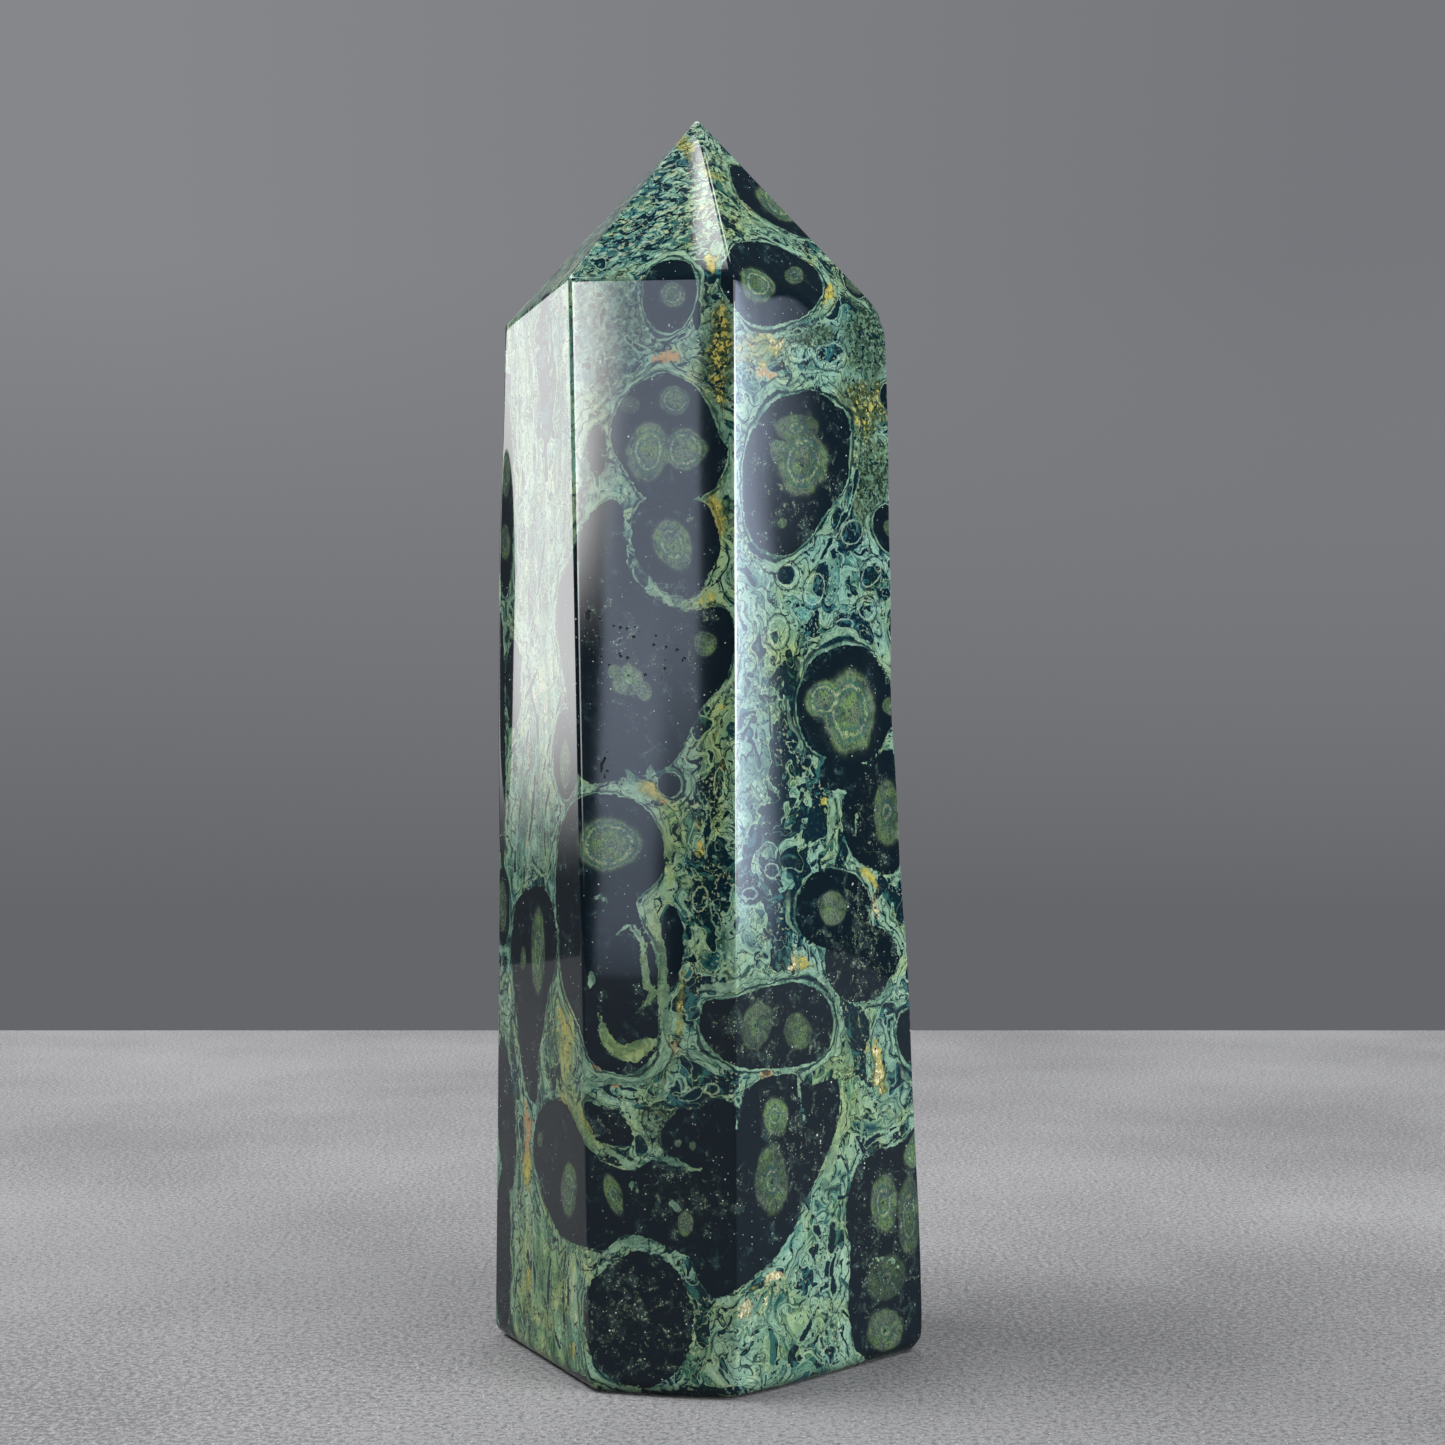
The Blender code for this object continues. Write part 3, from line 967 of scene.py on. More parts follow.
def mark_fields(points, shown):
    """The named fields of the marks. All that the noise moves about is read at wandered places."""
    wandered = points.copy()
    for seed, size, distance in WANDERS:
        wandered += noise_vectors(seed, size, points) * distance
    orbs = scattered_orbs(points, shown)
    fields = body_fields(orbs, wandered, shown)
    fields.update(eye_fields(orbs, wandered))
    cells = [lump_distance(lump(x, y, wide, tall, tilt), wandered) for x, y, wide, tall, tilt in CELLS]
    fields["cell"] = np.minimum(np.min(cells, axis=0), STROKE_REACH) / MM
    fields.update(tint_fields(points, wandered, shown))
    # Painted highlights along the edges, and the slots, as distances in millimetres
    for name, strokes in (("edge_highlight", PAINTED_EDGE_HIGHLIGHTS), ("slot", SLOTS)):
        distances = [stroke_distance(width, pixels, points) for width, pixels in strokes]
        fields[name] = np.min(distances, axis=0) / MM
    fields["pits"] = soft_patch([(1.0, *pit) for pit in PITS], points)
    # Painted shade: the foot is darkened up to FOOT_SHADE above the table
    fields["foot"] = np.clip(1.0 - points[:, 2] / FOOT_SHADE, 0.0, 1.0)
    turns = turns_of(points)
    from_front = np.clip((UPRIGHT_TO - turns) / UPRIGHT_SOFT[0], 0.0, 1.0)
    from_back = np.clip((turns - UPRIGHT_FROM) / UPRIGHT_SOFT[1], 0.0, 1.0)
    fields["upright"] = from_front * from_back
    return fields


def turns_of(points):
    """The way that each point lies from the stone's middle, in degrees from the front towards the right."""
    return np.degrees(np.arctan2(points[:, 0], -points[:, 1]))


# The stone's material

# Colours of the stone, as linear red, green and blue
BLACK = (0.0024, 0.0060, 0.0090)
INK = (0.0020, 0.0100, 0.0150)
NAVY = (0.0040, 0.0260, 0.0360)
DEEP_GREEN = (0.014, 0.062, 0.058)
DARK_GREEN = (0.032, 0.086, 0.060)
GREEN = (0.086, 0.160, 0.108)
LIGHT_GREEN = (0.152, 0.244, 0.164)
PALE_GREEN = (0.262, 0.345, 0.236)
OLIVE = (0.095, 0.115, 0.028)
DARK_OLIVE = (0.012, 0.022, 0.010)
TEAL_SHIFT = (0.90, 1.00, 1.18)
OLIVE_SHIFT = (1.22, 1.00, 0.60)
FLECK = (0.330, 0.380, 0.220)
EYE_GREEN = (0.078, 0.132, 0.048)
EYE_GREY = (0.062, 0.086, 0.062)
EYE_PALE = (0.140, 0.185, 0.112)
RING_PALE = (0.260, 0.300, 0.190)
OCHRE = (0.235, 0.190, 0.034)
YELLOW = (0.300, 0.275, 0.060)
RUST = (0.290, 0.150, 0.050)
CREAM = (0.500, 0.460, 0.280)
BROWN = (0.200, 0.165, 0.085)
GLINT = (0.560, 0.610, 0.540)
# The pale grey of the painted highlights along the stone's edges
PAINTED_HIGHLIGHT = (0.620, 0.640, 0.630)

# Shades that are multiplied over them
MOSSY_SHADE = (0.60, 0.82, 0.84)
DEEP_SHADE = (0.45, 0.60, 0.72)
LIFTED_SHADE = (1.35, 1.20, 1.10)
THREAD_SHADE = (0.50, 0.62, 0.70)
DIM_SHADE = (0.30, 0.42, 0.48)
GRAIN_DARK = (0.80, 0.83, 0.85)
GRAIN_PALE = (1.22, 1.20, 1.16)
FIBRE_SHADE = (0.36, 0.42, 0.46)
CLOUD_SHADE = (0.55, 0.58, 0.66)
TORN_SHADE = (0.55, 0.60, 0.62)
# Painted shade over the stone's foot
FOOT_PAINTED_SHADE = (0.26, 0.34, 0.34)

# Lines along the bands: (the band's level, half width, share, colour)
BAND_LINES = (
    (0.455, 0.010, 0.9, INK),
    (0.530, 0.006, 0.8, INK),
    (0.425, 0.005, 0.8, NAVY),
    (0.590, 0.007, 0.6, PALE_GREEN),
    (0.390, 0.007, 0.7, LIGHT_GREEN),
)

# The slanted drops on the point: how they are drawn out, and their tilt in degrees
DROP_SHAPE = (1.9, 1.5, 1.0)
DROP_TILT = -28.0

# How many fibres an eye has, in features round its unit circle
EYE_FIBRES = 6.5

# The stone's mirror: its index of refraction, and how strong its reflection is
STONE_IOR = 1.54
STONE_SPECULAR = 0.18


class Graph:
    """Builds a material's nodes, with one method for each kind that is used often."""

    def __init__(self, name):
        self.material = bpy.data.materials.new(name)
        self.material.use_nodes = True
        self.tree = self.material.node_tree
        self.tree.nodes.clear()

    def node(self, kind, **settings):
        made = self.tree.nodes.new(kind)
        for name, value in settings.items():
            setattr(made, name, value)
        return made

    def feed(self, socket, value):
        if isinstance(value, bpy.types.NodeSocket):
            self.tree.links.new(value, socket)
        elif isinstance(value, tuple) and len(value) == 3 and socket.type == "RGBA":
            socket.default_value = (*value, 1.0)
        else:
            socket.default_value = value

    def math(self, operation, first, second=0.0, third=0.0, clamp=False):
        made = self.node("ShaderNodeMath", operation=operation, use_clamp=clamp)
        for socket, value in zip(made.inputs, (first, second, third)):
            self.feed(socket, value)
        return made.outputs[0]

    def times(self, first, second):
        return self.math("MULTIPLY", first, second)

    def stirred(self, base, noise, amount):
        """A base moved up and down by a noise about its middle."""
        return self.math("MULTIPLY_ADD", self.math("SUBTRACT", noise, 0.5), amount, base)

    def field(self, name):
        """A number that the mesh keeps at each of its points."""
        return self.node("ShaderNodeAttribute", attribute_name=name).outputs["Fac"]

    def above(self, value, low, high):
        """0 below low and 1 above high, smooth between. The other way round where low is the greater."""
        made = self.node("ShaderNodeMapRange", interpolation_type="SMOOTHSTEP")
        for name, given in (("Value", value), ("From Min", low), ("From Max", high)):
            self.feed(made.inputs[name], given)
        return made.outputs["Result"]

    def mix(self, share, first, second, blend="MIX"):
        made = self.node("ShaderNodeMix", data_type="RGBA", blend_type=blend, clamp_factor=True)
        self.feed(made.inputs["Factor"], share)
        for socket, value in zip([s for s in made.inputs if s.type == "RGBA"], (first, second)):
            self.feed(socket, value)
        return [s for s in made.outputs if s.type == "RGBA"][0]

    def noise(self, at, scale, detail=2.0, rough=0.5, w=None, distort=0.0):
        """Noise with scale features in a millimetre. w is its fourth place, in features."""
        made = self.node("ShaderNodeTexNoise", noise_dimensions="3D" if w is None else "4D")
        for name, value in (("Vector", at), ("Scale", scale), ("Detail", detail), ("Roughness", rough),
                            ("Distortion", distort)):
            self.feed(made.inputs[name], value)
        if w is not None:
            self.feed(made.inputs["W"], self.math("DIVIDE", w, scale))
        return made.outputs["Fac"]

    def ramp(self, value, *stops):
        made = self.node("ShaderNodeValToRGB")
        made.color_ramp.interpolation = "EASE"
        while len(made.color_ramp.elements) < len(stops):
            made.color_ramp.elements.new(0.5)
        for element, (place, colour) in zip(made.color_ramp.elements, stops):
            element.position = place
            element.color = (*colour, 1.0)
        self.feed(made.inputs["Fac"], value)
        return made.outputs["Color"]

    def surface(self, colour, roughness, height, strength, distance):
        """Ends the material: a shader with its colour, its roughness and the bump of a height."""
        bump = self.node("ShaderNodeBump")
        for name, value in (("Strength", strength), ("Distance", distance), ("Height", height)):
            self.feed(bump.inputs[name], value)
        shader = self.node("ShaderNodeBsdfPrincipled")
        for name, value in (("Base Color", colour), ("Roughness", roughness), ("Normal", bump.outputs[0])):
            self.feed(shader.inputs[name], value)
        output = self.node("ShaderNodeOutputMaterial")
        self.feed(output.inputs["Surface"], shader.outputs[0])
        return shader


def drawn(g, colour, value, centre, width, share, line):
    """A thin line where a value passes a level."""
    apart = g.math("ABSOLUTE", g.math("SUBTRACT", value, centre))
    return g.mix(g.times(g.above(apart, width, width * 0.4), share), colour, line)


def shaded(g, colour, share, shift):
    """A colour multiplied towards a hue."""
    return g.mix(share, colour, shift, blend="MULTIPLY")


def swirled(g, at, *turns):
    """A place moved about by noise, once for each (scale, reach in millimetres)."""
    for scale, reach in turns:
        noise = g.node("ShaderNodeTexNoise")
        for name, value in (("Vector", at), ("Scale", scale), ("Detail", 1.0)):
            g.feed(noise.inputs[name], value)
        moved = g.node("ShaderNodeVectorMath", operation="MULTIPLY_ADD")
        g.feed(moved.inputs[0], noise.outputs["Color"])
        moved.inputs[1].default_value = (reach, reach, reach)
        g.feed(moved.inputs[2], at)
        at = moved.outputs[0]
    return at


def stretched(g, at, scale, tilt=0.0):
    """A place drawn out by scale along each axis, and turned by tilt degrees in the photograph's plane."""
    made = g.node("ShaderNodeMapping", vector_type="TEXTURE")
    g.feed(made.inputs["Vector"], at)
    made.inputs["Rotation"].default_value = (0.0, math.radians(tilt), 0.0)
    made.inputs["Scale"].default_value = scale
    return made.outputs[0]


def islands(g, colour, value, level, dark, outline):
    """Dark islands where a value is above a level, with a pale line and a dark line round them."""
    colour = drawn(g, colour, value, level - 0.034, 0.006, 0.7 * outline, INK)
    colour = drawn(g, colour, value, level - 0.014, 0.013, 0.6 * outline, LIGHT_GREEN)
    return g.mix(g.above(value, level - 0.002, level + 0.004), colour, dark)


def either(g, share, first, second):
    """A number between two others."""
    return g.math("MULTIPLY_ADD", share, g.math("SUBTRACT", second, first), first)


def green_bands(g, at, flow, fine, curled, fibres_at):
    """The swirling bands with lines along them. Gives the colour, the bands' streak and their level."""
    mottle, pale, upright = g.field("mottle"), g.field("pale"), g.field("upright")
    streak = g.noise(curled, 0.12, detail=2.5, rough=0.55, w=g.times(flow, 0.45))
    fibre = g.noise(fibres_at, 0.42, detail=3.0, rough=0.65, w=g.times(flow, 0.20))
    streak = either(g, upright, streak, fibre)
    gain = either(g, upright, 1.5, 2.1)
    level = g.stirred(0.50, streak, gain)
    level = g.stirred(level, fine, 0.13)
    level = g.math("MULTIPLY_ADD", pale, 0.08, level)
    level = g.math("MULTIPLY_ADD", mottle, -0.05, level)
    colour = g.ramp(level, (0.14, NAVY), (0.26, DEEP_GREEN), (0.34, DARK_GREEN), (0.41, GREEN),
                    (0.54, GREEN), (0.61, LIGHT_GREEN), (0.78, LIGHT_GREEN), (0.92, PALE_GREEN))
    lined = g.math("MULTIPLY_ADD", pale, -0.6, 1.0)
    shade = g.noise(curled, 0.26, detail=3.0, rough=0.6)
    mossy = g.noise(curled, 0.13, detail=2.0, rough=0.5)
    colour = shaded(g, colour, g.above(mossy, 0.51, 0.57), MOSSY_SHADE)
    colour = shaded(g, colour, g.above(shade, 0.54, 0.66), DEEP_SHADE)
    colour = shaded(g, colour, g.above(shade, 0.46, 0.36), LIFTED_SHADE)
    thread = g.noise(at, 0.30, detail=2.0, rough=0.6, w=g.times(flow, 3.2))
    colour = shaded(g, colour, g.above(thread, 0.56, 0.64), THREAD_SHADE)
    for centre, width, share, line in BAND_LINES:
        colour = drawn(g, colour, streak, centre, width, g.times(lined, share), line)
    return colour, streak, level


def ribbons(g, colour, at, flow, curled, level):
    """Broad ribbons edged with ink, and lines that follow the orbs' outlines."""
    lined = g.math("MULTIPLY_ADD", g.field("pale"), -0.6, 1.0)
    loose = g.math("SUBTRACT", 1.0, g.field("upright"))
    for shift, half in ((0.0, 0.030), (9.0, 0.020)):
        ribbon = g.noise(curled, 0.10, detail=1.5, rough=0.45, w=g.math("MULTIPLY_ADD", flow, 0.26, shift))
        apart = g.math("ABSOLUTE", g.math("SUBTRACT", ribbon, 0.5))
        edge = g.times(g.above(apart, half * 1.35, half * 1.25), g.times(loose, lined))
        colour = g.mix(edge, colour, INK)
        inside = g.times(g.above(apart, half * 1.05, half * 0.95), loose)
        tone = g.ramp(level, (0.36, GREEN), (0.50, LIGHT_GREEN), (0.54, GREEN), (0.66, LIGHT_GREEN))
        colour = g.mix(inside, colour, tone)
    bent = g.math("MULTIPLY_ADD", g.noise(at, 0.20, detail=2.0), 2.6, g.times(flow, 0.85))
    wave = g.math("SINE", g.times(bent, 2.0 * math.pi))
    near = g.times(g.above(flow, 4.6, 1.2), g.above(g.noise(at, 0.22, detail=1.0), 0.38, 0.46))
    colour = g.mix(g.times(g.above(wave, -0.2, -0.7), g.times(near, 0.75)), colour, LIGHT_GREEN)
    colour = g.mix(g.times(g.above(wave, 0.74, 0.88), near), colour, INK)
    return colour


def dark_islands(g, colour, at, flow, fine, curled, fibres_at):
    """Dark drops, blotches and small islands in clusters, and the ringed cells."""
    mottle, pale, upright = g.field("mottle"), g.field("pale"), g.field("upright")
    clear = g.math("MULTIPLY_ADD", g.field("ink_and_foot_shade"), -0.12, g.noise(curled, 0.7, detail=2.0))
    dark = g.mix(g.above(clear, 0.50, 0.60), INK, DEEP_GREEN)
    cluster = g.above(g.noise(at, 0.14, detail=1.0), 0.44, 0.62)
    drops = g.noise(stretched(g, at, DROP_SHAPE, DROP_TILT), 1.35, detail=2.0, rough=0.5, distort=0.6)
    drops = g.math("MULTIPLY_ADD", g.field("tilted"), 0.165, drops)
    colour = islands(g, colour, drops, 0.660, dark, 0.7)
    light = g.noise(stretched(g, at, DROP_SHAPE, DROP_TILT), 1.7, detail=1.0)
    light = g.times(g.above(light, 0.56, 0.62), g.field("tilted"))
    colour = g.mix(g.times(light, 0.5), colour, FLECK)
    cell = g.stirred(g.field("cell"), fine, 0.7)
    blotch = g.noise(curled, 0.18, detail=2.0, rough=0.5, w=g.times(flow, 0.25))
    lens = g.noise(fibres_at, 0.30, detail=2.0, rough=0.5, w=g.times(flow, 0.15))
    blotch = either(g, upright, blotch, lens)
    for share, name in ((0.07, "mottle"), (0.22, "ink_and_foot_shade"), (-0.05, "pale"), (-0.10, "tilted")):
        blotch = g.math("MULTIPLY_ADD", g.field(name), share, blotch)
    blotch = g.math("MULTIPLY_ADD", g.above(cell, 0.0, -0.5), 0.05, blotch)
    blotch = g.math("MULTIPLY_ADD", cluster, 0.02, blotch)
    colour = islands(g, colour, blotch, 0.600, dark, 1.0)
    small = g.noise(curled, 0.44, detail=1.4, rough=0.5)
    small = g.math("MULTIPLY_ADD", g.math("SUBTRACT", mottle, pale), 0.05, small)
    small = g.math("MULTIPLY_ADD", cluster, 0.05, small)
    small = g.math("MULTIPLY_ADD", upright, -0.08, small)
    colour = islands(g, colour, small, 0.665, dark, 0.9)
    colour = drawn(g, colour, cell, 0.0, 0.17, 0.85, INK)
    colour = drawn(g, colour, cell, -0.55, 0.16, 0.5, PALE_GREEN)
    return colour


def green_ground(g, at, flow, fine):
    """The green stone between the orbs: swirling bands, ink lines along them, and islands in clusters."""
    fibres_at = stretched(g, swirled(g, at, (0.07, 7.0), (0.25, 0.9)), (1.0, 1.0, 9.0))
    curled = swirled(g, at, (0.10, 9.0), (0.27, 3.0))
    colour, streak, level = green_bands(g, at, flow, fine, curled, fibres_at)
    colour = ribbons(g, colour, at, flow, curled, level)
    colour = dark_islands(g, colour, at, flow, fine, curled, fibres_at)
    return colour, streak


def tinted(g, colour, at, fine, grain, streak):
    """The green stone with its hues, its flecks and its ochre, rust and cream places."""
    hue = g.noise(at, 0.21, detail=2.0, rough=0.6, distort=0.5)
    teal = g.math("ADD", g.field("teal"), g.times(g.above(hue, 0.52, 0.62), 0.45), clamp=True)
    olive = g.math("ADD", g.field("olive"), g.times(g.above(hue, 0.48, 0.38), 0.45), clamp=True)
    colour = shaded(g, colour, teal, TEAL_SHIFT)
    colour = shaded(g, colour, olive, OLIVE_SHIFT)

    patchy = g.noise(at, 0.95, detail=5.0, rough=0.75, distort=1.0)
    patchy = g.stirred(patchy, streak, 1.2)
    patchy = g.times(g.math("SUBTRACT", patchy, 0.5), 2.2)
    wide = g.math("MULTIPLY_ADD", patchy, 0.5, g.field("ochre"))
    colour = g.mix(g.times(g.above(wide, 0.35, 0.75), 0.75), colour, OLIVE)
    speckle = g.above(g.math("MULTIPLY_ADD", patchy, 0.5, g.field("speckle")), 0.30, 0.75)
    colour = g.mix(g.times(speckle, 0.80), colour, DARK_OLIVE)
    bead = g.above(g.noise(at, 1.55, detail=1.5, rough=0.6, distort=0.6), 0.50, 0.57)
    colour = g.mix(g.times(g.times(speckle, bead), 0.65), colour, GREEN)
    beads = either(g, speckle, 1.0, bead)
    ochre = g.mix(g.above(fine, 0.46, 0.58), OCHRE, YELLOW)
    cream = g.mix(g.above(g.noise(at, 2.2, detail=2.0, rough=0.7), 0.46, 0.58), BROWN, CREAM)
    rust = g.mix(g.above(fine, 0.42, 0.56), BROWN, RUST)
    for name, tint in (("ochre", ochre), ("rust", rust), ("cream", cream)):
        share = g.above(g.math("ADD", g.field(name), patchy), 0.58, 0.98)
        share = g.times(g.times(share, beads), g.above(g.field(name), 0.05, 0.4))
        colour = g.mix(share, colour, tint)

    rough = g.noise(at, 2.4, detail=1.0, rough=0.6)
    patches = g.above(g.noise(at, 0.28, detail=2.0), 0.50, 0.62)
    flecks = g.times(g.above(rough, 0.60, 0.66), g.math("MULTIPLY_ADD", patches, 0.4, 0.04))
    colour = g.mix(flecks, colour, FLECK)
    dim = g.times(g.above(rough, 0.44, 0.36), g.math("MULTIPLY_ADD", patches, 0.5, 0.06))
    colour = shaded(g, colour, dim, DIM_SHADE)
    colour = shaded(g, colour, g.above(grain, 0.49, 0.36), GRAIN_DARK)
    return shaded(g, colour, g.above(grain, 0.56, 0.68), GRAIN_PALE)


def banded_skin(g, colour, distance, flow, at, fine):
    """The thin pale line round each orb, the dark line outside it and the fainter ones beyond."""
    rim = g.field("rim")
    uneven = g.noise(at, 0.16, detail=2.0)
    wide = g.math("MULTIPLY_ADD", g.above(uneven, 0.42, 0.66), 1.0, 0.45)
    place = g.math("DIVIDE", distance, g.math("MAXIMUM", g.times(wide, rim), 0.12))
    shown = g.times(g.above(rim, 0.15, 1.05), g.above(uneven, 0.36, 0.43))
    broken = g.math("MULTIPLY_ADD", g.above(fine, 0.42, 0.54), 0.6, 0.35)
    skin = g.mix(g.above(g.noise(at, 0.30, detail=1.0), 0.44, 0.62), DARK_GREEN, LIGHT_GREEN)
    broad = g.above(g.noise(at, 0.11, detail=1.0, distort=0.5), 0.47, 0.58)
    thread = g.noise(at, 0.45, detail=2.0, rough=0.6, w=g.times(flow, 4.5))
    banded = g.ramp(thread, (0.36, DARK_GREEN), (0.44, GREEN), (0.52, LIGHT_GREEN), (0.60, GREEN),
                    (0.66, PALE_GREEN))
    for near, far, share, line in ((0.0, 0.27, g.times(broken, 0.8), skin), (0.34, 0.62, 0.9, INK),
                                   (0.74, 1.60, g.times(broad, 0.85), banded), (1.64, 1.82, 0.7, INK)):
        inside = g.times(g.above(place, near - 0.08, near + 0.03), g.above(place, far + 0.08, far))
        colour = g.mix(g.times(inside, g.times(share, shown)), colour, line)
    return colour


def dusted(g, colour, at, scale, rare, size, amount):
    """Pale specks in cells, scale of them in a millimetre. rare is the share that have one."""
    dust = g.node("ShaderNodeTexVoronoi", feature="F1")
    g.feed(dust.inputs["Vector"], at)
    g.feed(dust.inputs["Scale"], scale)
    chance = g.node("ShaderNodeSeparateColor")
    g.feed(chance.inputs[0], dust.outputs["Color"])
    kept = g.above(chance.outputs["Red"], g.times(amount, rare), g.times(amount, rare * 0.98))
    reach = g.math("MULTIPLY_ADD", chance.outputs["Green"], size * scale * 0.7, size * scale * 0.3)
    speck = g.above(dust.outputs["Distance"], reach, g.times(reach, 0.5))
    bright = g.math("MULTIPLY_ADD", chance.outputs["Blue"], 0.7, 0.3)
    return g.mix(g.times(g.times(speck, kept), bright), colour, GLINT)


def eye_core(g, at, eye, fine, grain):
    """The colour of the eyes: fibres that spread from the middle, soft cells, and a broken pale ring."""
    outward = g.node("ShaderNodeCombineXYZ")
    g.feed(outward.inputs["X"], g.field("eye_across"))
    g.feed(outward.inputs["Y"], g.field("eye_up"))
    turned = g.node("ShaderNodeVectorMath", operation="NORMALIZE")
    g.feed(turned.inputs[0], outward.outputs[0])
    around = g.node("ShaderNodeVectorMath", operation="SCALE")
    g.feed(around.inputs[0], turned.outputs[0])
    around.inputs["Scale"].default_value = EYE_FIBRES
    fibre = g.noise(around.outputs[0], 1.0, detail=3.0, rough=0.7, w=g.times(eye, 0.9))
    fibre = g.times(g.math("SUBTRACT", fibre, 0.5), g.above(eye, 0.10, 0.60))
    fibre = g.math("ADD", g.times(fibre, 0.6), g.stirred(0.5, grain, 0.9))
    cells = g.noise(at, 0.55, detail=3.0, rough=0.6, distort=1.0)
    core = g.mix(g.above(cells, 0.42, 0.58), EYE_GREY, EYE_GREEN)
    core = g.mix(g.times(g.above(fibre, 0.52, 0.66), 0.60), core, EYE_PALE)
    core = shaded(g, core, g.above(fibre, 0.49, 0.38), FIBRE_SHADE)
    cloudy = g.noise(at, 0.34, detail=2.0, rough=0.6)
    core = shaded(g, core, g.above(cloudy, 0.52, 0.42), CLOUD_SHADE)
    core = drawn(g, core, cells, 0.5, 0.010, 0.6, DEEP_GREEN)
    from_ring = g.math("ABSOLUTE", g.math("SUBTRACT", eye, g.field("ring")))
    broken = g.times(g.above(from_ring, 0.060, 0.01), g.above(fine, 0.42, 0.56))
    core = g.mix(g.times(broken, 0.55), core, RING_PALE)
    beside = g.above(g.math("ABSOLUTE", g.math("SUBTRACT", from_ring, 0.12)), 0.060, 0.02)
    core = g.mix(g.times(beside, 0.65), core, DEEP_GREEN)
    core = g.mix(g.times(g.above(eye, 0.12, 0.06), g.above(cells, 0.44, 0.50)), core, INK)
    edge = g.above(g.math("ABSOLUTE", g.math("SUBTRACT", eye, 0.91)), 0.05, 0.02)
    return g.mix(g.times(g.times(edge, g.above(fine, 0.46, 0.56)), 0.5), core, EYE_PALE)


def black_body(g, at, fine, grain):
    """The black of the orbs, with its faint clouds, pale specks and fibrous green eyes."""
    glint = g.field("glint")
    cloud = g.noise(at, 0.45, detail=5.0, rough=0.7, distort=0.5)
    colour = g.mix(g.times(g.above(cloud, 0.50, 0.76), 0.7), BLACK, NAVY)
    clouded = g.above(g.math("MULTIPLY_ADD", glint, 0.13, cloud), 0.57, 0.70)
    flake = g.stirred(fine, grain, 0.7)
    mica = g.times(g.above(flake, 0.56, 0.66), clouded)
    colour = g.mix(g.times(mica, 0.80), colour, EYE_PALE)
    amount = g.times(g.math("MULTIPLY_ADD", glint, 0.9, 0.3), g.above(cloud, 0.40, 0.58))
    nebula = g.above(g.math("MULTIPLY_ADD", glint, 0.10, cloud), 0.55, 0.72)
    colour = g.mix(g.times(nebula, 0.16), colour, EYE_GREY)
    colour = dusted(g, colour, at, 0.65, 0.22, 0.20, amount)
    colour = dusted(g, colour, at, 1.4, 0.40, 0.14, amount)
    colour = dusted(g, colour, at, 2.8, 0.42, 0.10, amount)

    cells = g.noise(at, 0.50, detail=3.0, rough=0.6)
    ragged = g.stirred(g.field("eye"), grain, 0.22)
    ragged = g.stirred(ragged, fine, 0.14)
    ragged = g.stirred(ragged, cells, 0.34)
    core = eye_core(g, at, ragged, fine, grain)
    inner = g.times(g.above(ragged, 1.06, 0.88), 0.62)
    soft = g.math("MULTIPLY_ADD", g.above(ragged, 1.22, 0.60), 0.38, inner)
    return g.mix(g.times(soft, g.field("tone")), colour, core)


